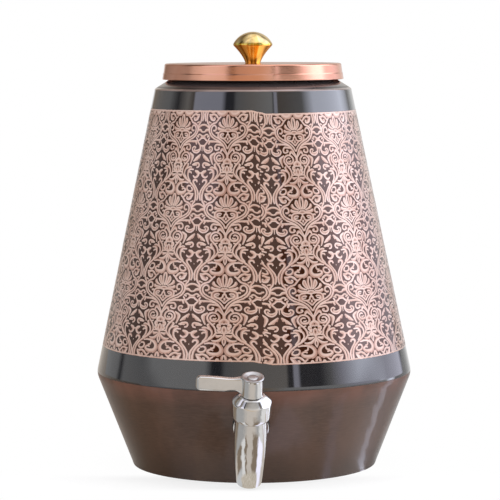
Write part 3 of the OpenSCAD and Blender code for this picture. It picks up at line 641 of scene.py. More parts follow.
def foot_plate():
    """The bottom, which stands on a ring and is folded up round the foot as a hem."""
    ring_in = lower_r(0) - STAND_RING
    lifted, ring_slope = ring_in - PLATE_LIFT, 0.5
    hem_in = HEM_T / cos(LOWER_TILT)
    outer = [(0, PLATE_LIFT), (lifted, PLATE_LIFT), (ring_in, 0),
             *arc((lower_r(FOOT_ROLL) - FOOT_ROLL * 1.04, FOOT_ROLL), FOOT_ROLL, -90, -LOWER_TILT, 15),
             *arc((lower_r(HEM_H) - HEM_ROLL - 0.01, HEM_H - HEM_ROLL), HEM_ROLL, -LOWER_TILT, 90, 22),
             (lower_r(HEM_H) - hem_in, HEM_H)]
    inner = [(lower_r(SHEET) - hem_in, SHEET), (ring_in + ring_slope, SHEET),
             (lifted + ring_slope, PLATE_LIFT + SHEET), (0, PLATE_LIFT + SHEET)]
    mesh = spin("foot_plate", outer, inner, BROWN, BARE_COPPER, SMOOTH_TURN)
    piece("foot_plate", mesh, VESSEL, "brown_lacquer", "base_plate")


# Tap

def belly(z):
    """Radius of the barrel's long curve at a height."""
    sag, drop = BARREL_R - SPOUT_R, BARREL_DROP + BELLY_Z
    r = (drop * drop + sag * sag) / (2 * sag)
    return BARREL_R - r + math.sqrt(r * r - (z - BELLY_Z) ** 2)


def stud_thread():
    """The stud's thread as grooves, from behind the wall nearly to its end."""
    crest, root = STUD_R - 0.02, STUD_R - THREAD_DEEP
    thread, y = [], TAP_REACH + THREAD_START
    while y < STUD_END_Y - THREAD_STOP:
        thread += [(crest, y), (crest, y + 0.15), (root, y + 0.5), (root, y + 0.62)]
        y += THREAD_PITCH
    return thread


def tap_barrel():
    """The barrel with its spout, shank, flange and stud, bored for the valve and the water's way."""
    low, bends = SPOUT_LIP - BARREL_DROP, 56
    wall = [low + (BARREL_RISE + BARREL_DROP - SPOUT_LIP) * i / bends for i in range(1, bends + 1)]
    barrel = [(0, -BARREL_DROP), *arc((SPOUT_R - SPOUT_LIP, low), SPOUT_LIP, -90, -8, 12),
              *((belly(z), z) for z in wall), (SPIGOT_R, BARREL_RISE), (SPIGOT_R, SPIGOT_Z), (0, SPIGOT_Z)]
    ledge_z = BORE_L - BARREL_DROP
    seat_z = ledge_z + SEAT_LEDGE
    below, above = -BARREL_DROP - OVERRUN, SPIGOT_Z + OVERRUN
    bore = [(0, below), (BORE_R + BORE_MOUTH + OVERRUN, below), (BORE_R, BORE_MOUTH - BARREL_DROP),
            (BORE_R, ledge_z), (SEAT_R, ledge_z), (SEAT_R, seat_z), (CHAMBER_R, seat_z), (CHAMBER_R, above),
            (0, above)]
    flange_y, flange_r = TAP_REACH - GASKET_T - FLANGE_T, FLANGE_R - FLANGE_SHY
    back_y, past_stud = flange_y + FLANGE_T, STUD_END_Y + OVERRUN
    shank = [(0, 0), (SHANK_R, 0), (SHANK_R, flange_y - 2.2),
             *arc((SHANK_R + SHANK_FILLET, flange_y - 1.7), -SHANK_FILLET, 0, -80, 16),
             (flange_r - 1.2, flange_y - 0.02),
             *arc((flange_r - FLANGE_EDGE, flange_y + FLANGE_EDGE), FLANGE_EDGE, -80, 0, 16),
             (flange_r, back_y), (STUD_R, back_y), *stud_thread(), (STUD_R - 0.6, STUD_END_Y),
             (0, STUD_END_Y)]
    water = [(0, 1), (WATER_R, 1), (WATER_R, past_stud), (0, past_stud)]
    neck = spin("shank", shank, [], CHROME, turns=96)
    way = spin("water_way", water, [], CHROME, turns=48)
    for mesh in (neck, way):
        mesh.transform(ALONG_SHANK)
    whole = spin("tap_barrel", barrel, [], CHROME, turns=128)
    bored = spin("bore", bore, [], CHROME, turns=96)
    mesh = carve("tap_barrel", whole, [("UNION", neck), ("DIFFERENCE", bored), ("DIFFERENCE", way)], 28)
    mesh.transform(TAP_PLACE)
    piece("tap_barrel", mesh, VESSEL, "chrome", "tap_body")


def bonnet_nut():
    """A round body with six bevels; the nearer two faces are, the rounder the edge between them."""
    turns, down, core_z, tight = 240, 84, 23.0, 34
    low, high = BARREL_RISE - core_z, BARREL_RISE + NUT_H - core_z
    foot_r, roof_z = SPIGOT_R + 0.05, 25.4
    sixth = math.pi / 3

    def reach(angle, slope):
        """From the core to the nut's face, along a slope from straight up."""
        out, up = math.sin(slope), math.cos(slope)
        near = (angle - math.radians(NUT_TURN) + sixth / 2) % sixth - sixth / 2
        bevels = [max((out * math.cos(turn) + up) / (NUT_FLAT + high), 0)
                  for turn in (near, sixth - abs(near))]
        faces = [up / high, up / low, (out - 0.047 * min(up, 0)) / NUT_R, (out - up) / (NUT_R - 1.9 - low),
                 sum(b ** 16 for b in bevels) ** (1 / 16)]
        return sum(max(f, 0) ** tight for f in faces) ** (-1 / tight)

    first, last = math.atan2(NUT_HOLE, high), math.pi - math.atan2(foot_r, -low)
    verts, faces = [], []
    for i in range(turns):
        angle = 2 * math.pi * i / turns
        column = []
        for j in range(down):
            slope = first + (last - first) * j / (down - 1)
            length = reach(angle, slope)
            column.append((length * math.sin(slope), core_z + length * math.cos(slope)))
        column[0], column[-1] = (NUT_HOLE, column[0][1]), (foot_r, column[-1][1])
        column += [(foot_r, BARREL_RISE + 5), (foot_r, roof_z), (NUT_HOLE, roof_z), (NUT_HOLE, 28)]
        verts += [(r * math.sin(angle), r * -math.cos(angle), z) for r, z in column]
    ring = len(verts) // turns
    for i in range(turns):
        a, b = i * ring, (i + 1) % turns * ring
        faces += [(a + j, a + (j + 1) % ring, b + (j + 1) % ring, b + j) for j in range(ring)]
    mesh = drawn("bonnet_nut_chrome", verts, [], faces)
    mesh.materials.append(CHROME)
    turn_out(mesh)
    smooth(mesh, 50)
    mesh.transform(TAP_PLACE)
    piece("bonnet_nut_chrome", mesh, VESSEL, "chrome", "bonnet_nut")


def lever_mesh():
    """The flat lever, as rounded cross-sections from its tip to the hub."""
    top_z, in_hub = RIM_Z - PADDLE_SINK, -3.7
    foot_z, tip_x = top_z - PADDLE_H, PADDLE_R - LEVER_L
    top = [*reversed(arc((tip_x, top_z - PADDLE_R), PADDLE_R, 90, 180, 6)),
           *bezier([(tip_x, top_z), (-0.55 * LEVER_L, top_z + 0.3), (-0.4 * LEVER_L, top_z - 1.8),
                    (-HUB_R, RIM_Z - 0.8)], 40), Vector((in_hub, RIM_Z - 0.8))]
    under = [*arc((tip_x, foot_z + PADDLE_R), PADDLE_R, 180, 270, 6),
             *bezier([(PADDLE_L - LEVER_L, foot_z), (-HUB_R - 5.4, foot_z + 1.5),
                      (-HUB_R - 3.2, HUB_Z + 3.6), (-HUB_R + 0.3, HUB_Z + 0.4)], 40),
             Vector((in_hub, HUB_Z + 0.4))]

    def height(line, x):
        for p, q in zip(line, line[1:]):
            if q[0] >= x:
                return p[1] + (q[1] - p[1]) * (x - p[0]) / max(q[0] - p[0], 1e-9)
        return line[-1][1]

    half, tip_l, squared = LEVER_T / 2, 4, 0.42
    sides, verts, faces = 40, [], []
    stations = [-LEVER_L + 0.02 + tip_l * (i / 16) ** 2 for i in range(16)]
    stations += [-LEVER_L + tip_l + (LEVER_L - 7.7) * i / 50 for i in range(51)]
    for x in stations:
        high, low = height(top, x), height(under, x)
        tip = x + LEVER_L - half
        wide = math.sqrt(max(half * half - tip * tip, 0.01)) if tip < 0 else half
        wide += 0.5 * min(max((x + HUB_R + 4) / 4, 0), 1)
        for k in range(sides):
            a = 2 * math.pi * k / sides
            c, s = math.cos(a), math.sin(a)
            verts.append((x, wide * math.copysign(abs(c) ** squared, c),
                          (high + low) / 2 + (high - low) / 2 * math.copysign(abs(s) ** squared, s)))
    for start in range(0, len(verts) - sides, sides):
        faces += [(start + k, start + (k + 1) % sides, start + sides + (k + 1) % sides, start + sides + k)
                  for k in range(sides)]
    faces += [tuple(range(sides)), tuple(range(len(verts) - sides, len(verts)))]
    mesh = drawn("lever", verts, [], faces)
    turn_out(mesh)
    return mesh


def tap_handle():
    """The hub and its lever, cast in one: joined, then melted together and polished smooth."""
    spline_r, web_z, screw_r, head_z = 3.15, HUB_Z + 7.0, 1.6, HUB_Z + 8.4
    well_r, dish_z, cap_top, cap_foot = CAP_R + 0.05, RIM_Z - DISH, RIM_Z - DISH + 0.5, RIM_Z - 2.0
    outer = [(spline_r, HUB_Z), (HUB_R + 0.2, HUB_Z), (HUB_R, HUB_Z + 1.4),
             *bezier([(HUB_R, HUB_Z + HUB_H * 0.6), (HUB_R, HUB_Z + HUB_H * 0.85),
                      (HUB_RIM, RIM_Z - 0.7)], 8),
             *arc((HUB_RIM - 0.6, RIM_Z - 0.56), 0.5, 0, 90, 20), (HUB_RIM - 1.1, RIM_Z - 0.06),
             (CAP_R + 0.5, dish_z), (well_r, dish_z)]
    inner = [(well_r, head_z), (screw_r, head_z), (screw_r, web_z), (spline_r, web_z)]
    hub = spin("tap_handle", outer, inner, CHROME, turns=96)
    joined = add("tap_handle_cast", carve("tap_handle", hub, [("UNION", lever_mesh())], 30))
    melt = joined.modifiers.new("melt", "REMESH")
    melt.mode, melt.voxel_size, melt.use_smooth_shade = "VOXEL", 0.2 * MM, True
    polish = joined.modifiers.new("polish", "SMOOTH")
    polish.factor, polish.iterations = 0.5, 6
    mesh = settle(joined)
    mesh.materials.clear()
    mesh.materials.append(CHROME)
    smooth(mesh)
    mesh.transform(TAP_PLACE)
    piece("tap_handle", mesh, HANDLE, "chrome", "handle")

    crown = bezier([(CAP_R, dish_z), (CAP_R * 0.7, cap_top), (0, cap_top)], 10)[:-1]
    mesh = spin("index_cap", [(0, cap_foot), (CAP_R, cap_foot), *crown, (0, cap_top)], [], CHROME, turns=64)
    mesh.transform(TAP_PLACE)
    piece("index_cap", mesh, HANDLE, "chrome", "handle_cap")


# Lid

LID_UNDER_Z = LIP_TOP_Z + LID_GAP
LID_TOP_Z = LID_UNDER_Z + LID_T
LID_FOOT_Z = LID_TOP_Z - LID_H
LID_TOP_R = LIP_C[0] + LIP_R + LID_SIDE + LID_T
LID_BAND_Z = LID_FOOT_Z + LID_BAND


def skirt_r(z):
    return LID_TOP_R + LID_FLARE * (LID_TOP_Z - z) / LID_H


def lid_cap():
    """The pressed lid: a rounded edge, a flared skirt with a small step, and a hem."""
    edge, roll, inner_roll, step_roll = (LID_TOP_R - LID_EDGE, LID_TOP_Z - LID_EDGE), 0.35, 0.4, 0.2
    flare = math.degrees(math.atan(LID_FLARE / LID_H))
    step_z, foot_r = LID_BAND_Z + 0.12, skirt_r(LID_FOOT_Z)
    outer = [(SCREW_HOLE, LID_TOP_Z), *reversed(arc(edge, LID_EDGE, flare, 90, 7)), (skirt_r(step_z), step_z),
             *reversed(arc((skirt_r(LID_BAND_Z) + LID_STEP - step_roll, LID_BAND_Z - 0.25), step_roll,
                           flare, 80, 15)),
             *reversed(arc((foot_r + LID_STEP - roll, LID_FOOT_Z + roll), roll, -90, flare, 12))]
    inner = [(foot_r - LID_T, LID_FOOT_Z),
             *arc((LID_TOP_R - LID_T - inner_roll, LID_UNDER_Z - inner_roll), inner_roll, 0, 90, 15),
             (SCREW_HOLE, LID_UNDER_Z)]
    mesh = spin("lid_cap", outer, inner, LID_COPPER, LID_COPPER, SMOOTH_TURN)
    piece("lid_cap", mesh, LID, "copper_lid", "lid")


def knob_turned():
    """The knob: a dome on a rounded rim, and a waisted stem with a blind hole for the screw."""
    rim, depth, down = 1.3, 9, -45
    rim_c = Vector((KNOB_R - rim, KNOB_EDGE_Z - 0.6))
    crown = KNOB_H - rim - rim_c[1]
    rise = (rim_c[0] ** 2 - crown ** 2) / (2 * crown)
    dome_c = Vector((0, rim_c[1] - rise))
    dome_a = math.degrees(math.atan2(rise, rim_c[0]))
    waist = bezier([(KNOB_STEM - 0.3, 0), (KNOB_STEM + 0.9, 4.6), rim_c + rim * heading(down)], 18)[:-1]
    outer = [(0, KNOB_H - 0.002), *arc(dome_c, KNOB_H - dome_c[1], 90, dome_a, 3)[1:],
             *arc(rim_c, rim, dome_a, down, 9)[1:], *reversed(waist), (SCREW_HOLE, 0)]
    mesh = spin("knob_turned", outer, [(SCREW_HOLE, depth), (0, depth)], KNOB_BRASS, turns=128)
    mesh.transform(Matrix.Translation((0, 0, LID_TOP_Z * MM)))
    piece("knob_turned", mesh, LID, "knob_brass", "knob")


INNER_NODES = [
    (STEEL, ("knob_screw", "knob_washer", "inner_washer", "lock_nut", "handle_screw")),
    (RUBBER, ("outer_gasket", "inner_gasket", "cartridge_o_ring", "seat_seal", "spindle_o_rings")),
    (VALVE_BRASS, ("cartridge_body", "spindle")),
    (CERAMIC, ("fixed_disc", "moving_disc")),
    (ACETAL, ("thrust_washer",))]


def inner_nodes():
    """The CAD's own solids that nothing replaces, each in its finish."""
    for finish_used, names in INNER_NODES:
        for name in names:
            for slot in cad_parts[name].material_slots:
                slot.material = finish_used


# Damask

# Strokes of the right half of one repeat, drawn in mm: across from the palmette's
# middle line, down from the top of the repeat, and width
SCROLLS = {
    "petal_middle": [(0, 10.2, 0.6), (0.8, 7.8, 1.2), (1, 5.2, 1.3), (0.6, 3.3, 1.2), (0, 2.4, 0.8)],
    "petal_upper": [(0.9, 10.2, 0.5), (2, 8.2, 0.9), (2.7, 6, 1.3), (3.2, 4.6, 1.1), (4, 5.2, 1.2),
        (4.3, 6.6, 1.2), (3.5, 8.2, 1.2), (1.6, 10.2, 0.5)],
    "petal_side": [(2.2, 10.4, 0.6), (3.9, 9.8, 1), (5.4, 9, 1.5), (6.3, 7.9, 1.7), (6.2, 6.8, 0.8)],
    "petal_low": [(2.6, 11.3, 0.9), (4.6, 11.2, 1.1), (6.1, 11.1, 1.5), (7.1, 10.6, 1.6), (7.3, 9.9, 0.8)],
    "fan_root": [(0, 10.9, 0.8), (1.3, 11.1, 1.2), (2.2, 11.8, 1), (1.4, 12.6, 1), (0, 12.7, 1)],
    "fan_stalk": [(0, 12.6, 0.9), (0, 13.6, 0.7), (0, 14.6, 0.8)],
    "fan_cup": [(1.5, 12.3, 0.9), (3.6, 12.3, 1.1), (5.6, 12.5, 1), (7, 13.4, 1.1), (7.5, 14.8, 1.2),
        (7.2, 16.4, 1.3), (5.9, 17.1, 0.8)],
    "fan_cup_bud": [(7.2, 13.5, 0.9), (8.3, 13.3, 1.1), (9.4, 13.5, 0.9)],
    "fan_volute": [(0, 14.4, 0.9), (0.9, 14.7, 0.9), (1.2, 15.9, 1), (2.2, 16.7, 1), (3.8, 16.7, 1),
        (5.3, 16.1, 1), (5.7, 15, 1), (4.9, 14.3, 1), (3.6, 14.2, 0.9), (2.9, 14.7, 0.8)],
    "fan_volute_eye": [(3.3, 15.1, 0.6), (4.4, 15.3, 1.1), (5.2, 15.4, 0.6)],
    "drop": [(0, 16.5, 0.8), (0, 17.3, 1.1), (0, 18.1, 0.7)],
    "heart_tip": [(3.6, 16.9, 0.7), (2.2, 17.9, 0.9), (1, 18.8, 1), (0, 19.9, 1)],
    "heart_inner": [(0, 23.2, 1), (0.9, 21.4, 0.9), (1.9, 20, 0.9), (3.4, 18.7, 0.9), (5.2, 17.6, 0.9),
        (7.4, 16.6, 0.9), (9.6, 15.6, 0.9), (11.6, 14.3, 1), (12.7, 12.6, 1), (12.7, 10.8, 1), (11.8, 9.4, 1),
        (10.4, 9.1, 1), (9.3, 10.1, 1), (9.3, 11.4, 1), (10.3, 12.1, 1.1), (11.4, 11.8, 0.7)],
    "heart_outer": [(0, 27, 1.3), (0.9, 25, 1), (1.7, 23.2, 1), (2.8, 21.5, 1.1), (4.2, 20.1, 1.3),
        (6, 18.8, 1.1), (8.2, 17.8, 1), (10.4, 16.9, 0.9), (12.4, 15.6, 1), (13.8, 13.8, 1.1),
        (14.5, 11.8, 1.1), (14, 9.9, 1), (12.8, 8.5, 1), (11, 7.7, 1), (9.3, 7.2, 1.1), (8.1, 6, 1.1),
        (7.1, 4.7, 1.1), (5.6, 3.7, 0.8)],
    "branch": [(4.6, 19.9, 0.8), (6.6, 19.1, 0.9), (8.8, 18.7, 1), (11, 18.6, 1.2), (13.2, 18.6, 1.4),
        (14.6, 18.4, 1), (14.4, 17.3, 1), (13.7, 16.4, 0.6)],
    "branch_leaf": [(13.4, 18.9, 0.9), (14.2, 19.7, 1.1), (14.6, 20.7, 0.9)],
    "curl": [(3.2, 21.2, 0.9), (5, 20.9, 1), (6.8, 20.5, 1), (8.4, 20.6, 1.1), (9.4, 21.7, 1.1),
        (9.5, 23.1, 1.1), (8.6, 24, 1), (7.2, 24, 0.9), (6.1, 23.3, 1.1), (6.3, 22.5, 1.1), (7.2, 22.4, 0.8)],
    "leaf_under_curl": [(4.9, 25.4, 0.6), (4.4, 24.3, 1.4), (3.6, 23.7, 1.4), (2.6, 24.6, 1.2),
        (1.4, 25.8, 1.1), (0, 27.4, 1.4)],
    "stalk": [(0, 26.6, 1.4), (0, 28, 1.5), (0, 29.2, 1.2)],
    "volute": [(4.3, 37.6, 1), (4.6, 35.6, 1), (5.4, 33.9, 1), (6.9, 32.3, 1.1), (8.5, 30.8, 1.1),
        (9.4, 29, 1.1), (9, 27.2, 1.1), (7.7, 26, 1.1), (6, 25.6, 1), (4.3, 26.1, 1), (3.1, 27.3, 1.1),
        (2.8, 28.8, 1.2), (3.6, 30.1, 1.2), (5.3, 30.6, 1.2), (7, 30.1, 1.2), (7.7, 28.8, 1.1),
        (7.1, 27.7, 0.9), (5.9, 27.3, 0.9), (4.9, 27.8, 0.8)],
    "volute_eye": [(4.4, 28.6, 0.7), (5.2, 29.3, 0.9), (6.3, 29.1, 0.9)],
    "flower_top": [(0, 29.3, 1.5), (1.3, 29.9, 1.8), (2.4, 31.2, 1.9), (1.8, 32.2, 1.5), (0.8, 32, 1.2),
        (0, 32.5, 0.9)],
    "flower_side": [(1.7, 32.9, 1.2), (3.2, 32.8, 1.9), (3.5, 34, 1.7), (2.6, 34.5, 1.4), (1.5, 34.3, 1.1)],
    "flower_low": [(1.8, 35.3, 1.5), (3.2, 35.4, 1.8), (3.2, 36.5, 1.4), (2.3, 36.9, 1.3), (1.3, 36.8, 1)],
    "flower_heart": [(0, 33.6, 1.1), (0.9, 34.7, 1.2), (1.1, 36, 1.1), (0.6, 37.3, 1), (0, 37.8, 1)],
    "flower_foot": [(0, 37.9, 0.8), (1.6, 37.5, 0.7), (3, 37.6, 0.7), (4.4, 37.6, 0.9)],
    "leaf_small": [(0.9, 39, 0.8), (2.4, 39.4, 1.3), (3.6, 39.5, 1.6), (4.4, 38.9, 0.7)],
    "leaf_long": [(0.6, 39.8, 0.9), (1.8, 41.2, 1.4), (3.4, 42.3, 1.6), (5.2, 42.5, 1.2), (6.8, 42.1, 0.5)],
    "tail_stalk": [(0, 37.8, 0.9), (0, 39.4, 1), (0, 40.8, 0.8)],
    "tail_leaf": [(0, 40.6, 0.7), (0.8, 41.9, 0.8), (0.8, 43.6, 0.8), (0, 45.4, 0.5)],
    "lattice": [(4.3, 37.2, 1), (5.2, 38.8, 1), (6.6, 40.3, 1), (8.4, 41.8, 1.1), (10.4, 42.9, 1.1),
        (12.2, 44, 1.1), (13.9, 45.5, 1.1), (15.4, 47.1, 1.1), (16.6, 49.2, 1.1), (17.1, 51.5, 1.1),
        (17.1, 53.8, 1.2), (16.4, 55.8, 1.1), (15.2, 57.2, 1.1), (14.8, 58.8, 1.2), (14.7, 60.2, 1)],
    "lattice_leaf": [(8.3, 32.4, 0.9), (9.2, 33, 1.3), (8.7, 34.2, 1.3), (7.8, 35.4, 1.3), (6.9, 36.8, 1.1),
        (6.7, 38.4, 1), (7.4, 40, 1), (8.8, 41.6, 0.9)],
    "lattice_twig": [(8, 35.3, 1.1), (9.6, 34.7, 1.2), (11.2, 34.3, 0.9), (12.4, 34.8, 0.6)],
    "heart_frame": [(13.9, 36.2, 0.7), (12.6, 36, 1), (11.1, 36.1, 1.3), (10, 37, 1.4), (9.6, 38.6, 1.2),
        (9.8, 40.3, 1.2), (10.6, 41.8, 1.2), (11.9, 43.2, 1.1)],
    "heart_curl": [(10.3, 37.6, 0.7), (11.3, 37.4, 0.9), (12.2, 37.9, 0.9), (12.2, 38.6, 0.5)],
    "sickle_leaf": [(9.4, 25.6, 0.6), (10.9, 26.5, 1.3), (12.3, 27.8, 2), (12, 29.5, 1.7), (11.4, 31.2, 1.1),
        (10.6, 32.9, 0.7)],
    "slant_leaf": [(12.9, 31, 0.6), (14.2, 30, 1.5), (15.6, 28.9, 2.3), (17.1, 27.8, 1.9), (18.4, 26.6, 0.7)],
    "bent_leaf": [(12.2, 33.2, 0.8), (13.8, 32.5, 1.4), (15.7, 32, 1.4), (17.3, 32.1, 1.2), (18, 33.2, 1.1),
        (17.4, 34.5, 1), (15.9, 34.9, 0.8)],
    "bent_leaf_vein": [(13, 33.3, 0.7), (14.8, 33.1, 0.8), (16.1, 33.2, 0.6)],
    "hook": [(15, 36.7, 0.9), (16.4, 37, 1.7), (17.7, 37.8, 2), (18, 39.2, 1.6), (17, 40.5, 1.3),
        (15.5, 41, 1.1), (14.2, 40.5, 0.9), (13.7, 39.7, 0.5)],
    "hook_tie": [(18, 37.9, 1), (19.3, 38.1, 0.9)],
    "inner_stem": [(17.2, 43.9, 0.8), (16.7, 42.8, 1.1), (15.4, 42.5, 1.3), (14.5, 43.3, 1.3),
        (14.9, 44.6, 1.1), (16.1, 46, 1.1), (17.4, 47.6, 1), (18.4, 49.4, 1.1), (18.8, 51.3, 1.2),
        (18.6, 53.4, 1.1), (18.1, 55, 0.8)],
    "volute_bud": [(4.9, 31.9, 0.7), (5.9, 32.2, 1), (6.7, 32.5, 0.8)],
    "dot": [(19.1, 44.8, 0.7), (19.3, 44.8, 0.7)],
    "great_scroll": [(10.6, 44.4, 0.8), (7.6, 43.9, 1.2), (4.9, 44.2, 1.5), (2.8, 45.3, 1.9), (1.7, 47, 2),
        (1.8, 48.8, 2.2), (3.1, 50.1, 2.4), (5, 50.4, 2.5), (7, 50.1, 2), (8.4, 49.2, 1.4), (8.3, 48.3, 1.1),
        (7, 47.8, 1), (5.7, 48.4, 0.8)],
    "great_scroll_eye": [(5.3, 44.8, 0.7), (5.3, 46, 0.9), (6.1, 46.8, 0.9), (7.1, 46.6, 0.6)],
    "frame_curl": [(12.8, 46.5, 0.7), (11.2, 46.1, 0.9), (10.1, 46.6, 1), (10, 47.9, 1), (11, 49, 1.1),
        (12.6, 49.3, 1.1), (13.9, 48.6, 1), (13.6, 47.6, 0.8), (12.9, 47, 0.6)],
    "comma_top": [(7.6, 4.6, 0.8), (8.8, 3.2, 1.4), (10.2, 2.3, 1.2), (11.7, 2, 1.1), (13.3, 2.5, 1.3),
        (15.2, 2.3, 0.9)],
    "comma": [(14.9, 3, 0.9), (14, 4.3, 2.2), (12.9, 5.4, 1.9), (11.4, 5.9, 1.4), (10.4, 5.3, 1.2),
        (10.5, 4.4, 1.1), (11.4, 4.3, 0.8)],
    "bud": [(13.2, 7.4, 0.6), (14.2, 7, 1.1), (15.4, 6.6, 0.9)],
    "cross_top": [(14.9, 10.4, 1), (16.2, 9.3, 1.1), (17.7, 8.6, 1.1), (19.3, 8.4, 1.1)],
    "cross_arm": [(14.7, 11.7, 1.3), (16.1, 11.5, 1.5), (17.3, 11.9, 1.4), (18.1, 12.7, 0.9),
        (19.3, 13, 0.8)],
    "cross_leaf": [(14.2, 15.2, 0.8), (15.2, 15.6, 1.3), (16.1, 16.1, 0.9)],
    "cross_arch": [(15, 14.9, 0.8), (16.3, 14.4, 0.9), (17.4, 14.7, 0.9), (18.2, 15.4, 1.2),
        (19.3, 15.7, 1.3)],
    "cross_bar": [(19.3, 16.7, 1.2), (18, 16.9, 1.2), (17, 17.9, 1), (15.6, 18.8, 1.1), (16.3, 19.8, 1),
        (17.3, 20.8, 1), (17.9, 22, 1.2), (17.8, 23.6, 1.2), (16.9, 25, 1.1), (15.2, 25.9, 1),
        (13.2, 25.7, 1), (11.7, 24.7, 1), (11.2, 23.4, 1), (11.8, 22.3, 0.9), (13, 22, 1), (14, 22.5, 1),
        (13.7, 23.2, 0.6)],
    "cross_curl": [(13.2, 23.2, 0.6), (13.2, 24.1, 0.9), (14.4, 24.4, 0.9), (15.9, 24.1, 0.9),
        (17.4, 23.4, 0.9)],
    "cross_foot": [(17.5, 21.2, 1), (18.4, 21.4, 1.1), (19.3, 21.4, 1.1)],
    "cross_stalk": [(19.3, 21.6, 0.5), (19.3, 23.2, 0.4), (19.3, 24.8, 0.3)],
}


def stroke_points(marks):
    """A smooth stroke through the given marks, with points only where it bends."""
    between, most_bend, most_run = 8, math.radians(17), 2.4
    before = Vector(marks[0]) * 2 - Vector(marks[1])
    after = Vector(marks[-1]) * 2 - Vector(marks[-2])
    ends = [before, *map(Vector, marks), after]
    fine = []
    for p, q, r, s in zip(ends, ends[1:], ends[2:], ends[3:]):
        for t in (k / between for k in range(between)):
            fine.append(0.5 * (2 * q + (r - p) * t + (2 * p - 5 * q + 4 * r - s) * t * t
                               + (3 * q - p - 3 * r + s) * t ** 3))
    fine.append(ends[-2])
    kept, bend, run = [fine[0]], 0.0, 0.0
    for a, b, c in zip(fine, fine[1:], fine[2:]):
        bend += (b - a).xy.angle((c - b).xy, 0.0)
        run += (b - a).xy.length
        if bend > most_bend or run > most_run:
            kept.append(b)
            bend = run = 0.0
    return [*kept, fine[-1]]


def stroke_mesh(name, strokes):
    """Strokes as lines of edges in mm, with their widths."""
    verts, edges, widths = [], [], []
    for line in strokes:
        edges += [(len(verts) + i, len(verts) + i + 1) for i in range(len(line) - 1)]
        verts += [(p[0], -p[1], 0) for p in line]
        widths += [p[2] for p in line]
    mesh = drawn(name, verts, edges, [], 1)
    mesh.attributes.new("width", "FLOAT", "POINT").data.foreach_set("value", widths)
    return mesh


def lie(x, y):
    """Angle on the cone of a flat point, in degrees."""
    return x * (COLUMN_TURN / (2 * HALF_REPEAT)) + PALMETTE_AT - (y + (BAND_TOP + BAND_FOOT) / 2) * LEAN


def kept_within(value, low, high):
    return value.maths("MAXIMUM", value.maths("MINIMUM", value, high), low)


def damask_tree():
    """Sweeps strokes into low ridges, mirrors and repeats them, and wraps them on the upper cone."""
    tree, ports = tree_with("damask_wrap", [
        ("Half repeat", "Float"), ("Repeat height", "Float"), ("First column", "Float"), ("Columns", "Int"),
        ("First row", "Float"), ("Rows", "Int"), ("Height", "Float"), ("Sunk", "Float"),
        ("Finish", "Material")])
    strokes, half, height = ports["Geometry"], ports["Half repeat"], ports["Repeat height"]
    lines = strokes.node("GeometryNodeMeshToCurve", {}, {0: strokes})
    flat = lines.node("GeometryNodeSetCurveNormal", {"mode": "Z_UP"}, {0: lines})
    roof = strokes.node("GeometryNodeCurvePrimitiveCircle", {}, {"Resolution": 3, "Radius": 1.0})
    on_roof = roof.node("GeometryNodeInputPosition").parts()[0]
    roof = roof.node("GeometryNodeStoreNamedAttribute", {"data_type": "FLOAT", "domain": "POINT"},
                     {0: roof, "Name": "crest", "Value": on_roof > 0.5})
    wide = named(strokes, "FLOAT", "width") * 0.53 * (ports["Sunk"] / ports["Height"] + 1)
    swept = flat.node("GeometryNodeCurveToMesh", {}, {
        "Curve": flat, "Profile Curve": roof, "Scale": wide, "Fill Caps": True})
    mirrored = swept.node("GeometryNodeTransform", {}, {0: swept, "Scale": (-1, 1, 1)})
    turned = mirrored.node("GeometryNodeFlipFaces", {}, {0: mirrored})
    repeat = swept.node("GeometryNodeJoinGeometry", {}, {0: [swept, turned]})
    across = strokes.node("GeometryNodeMeshLine", {}, {
        "Count": ports["Columns"], "Start Location": combine(ports["First column"] * half * 2.0, 0, 0),
        "Offset": combine(half * 2.0, 0, 0)})
    row = repeat.node("GeometryNodeInstanceOnPoints", {}, {"Points": across, "Instance": repeat})
    down = strokes.node("GeometryNodeMeshLine", {}, {
        "Count": ports["Rows"], "Start Location": combine(0, ports["First row"] * height * -1.0, 0),
        "Offset": combine(0, height * -1.0, 0)})
    field = row.node("GeometryNodeInstanceOnPoints", {}, {"Points": down, "Instance": row})
    sheet = field.node("GeometryNodeRealizeInstances", {}, {0: field})

    x, y, z = strokes.node("GeometryNodeInputPosition").parts()
    turn = lie(x, y)
    out = (turn < SEAM_AT) + (turn > SEAM_AT + 360) + (y > -BAND_TOP) + (y < -BAND_FOOT)
    kept = sheet.node("GeometryNodeDeleteGeometry", {"domain": "FACE"}, {0: sheet, "Selection": out > 0.5})
    angle = kept_within(turn, SEAM_AT, SEAM_AT + 360)
    depth = kept_within(y, -BAND_FOOT, -BAND_TOP)
    up = (depth * DOWN_SCALE + BAND_START + climb(angle - SEAM_AT)) / SLANT
    rise = (z > 0) * (ports["Height"] + ports["Sunk"]) - ports["Sunk"]
    r = up * (SLANT_TOP[0] - SLANT_FOOT[0]) + SLANT_FOOT[0] + rise * cos(UPPER_TILT)
    level = up * (SLANT_TOP[1] - SLANT_FOOT[1]) + SLANT_FOOT[1] + rise * sin(UPPER_TILT)
    way = angle * math.radians(1)
    wrapped = kept.node("GeometryNodeSetPosition", {}, {0: kept, "Position": combine(
        r * way.maths("SINE", way) * MM, r * way.maths("COSINE", way) * -MM, level * MM)})
    finished(creased(wrapped, math.radians(40)), (ports["Finish"], True))
    return tree


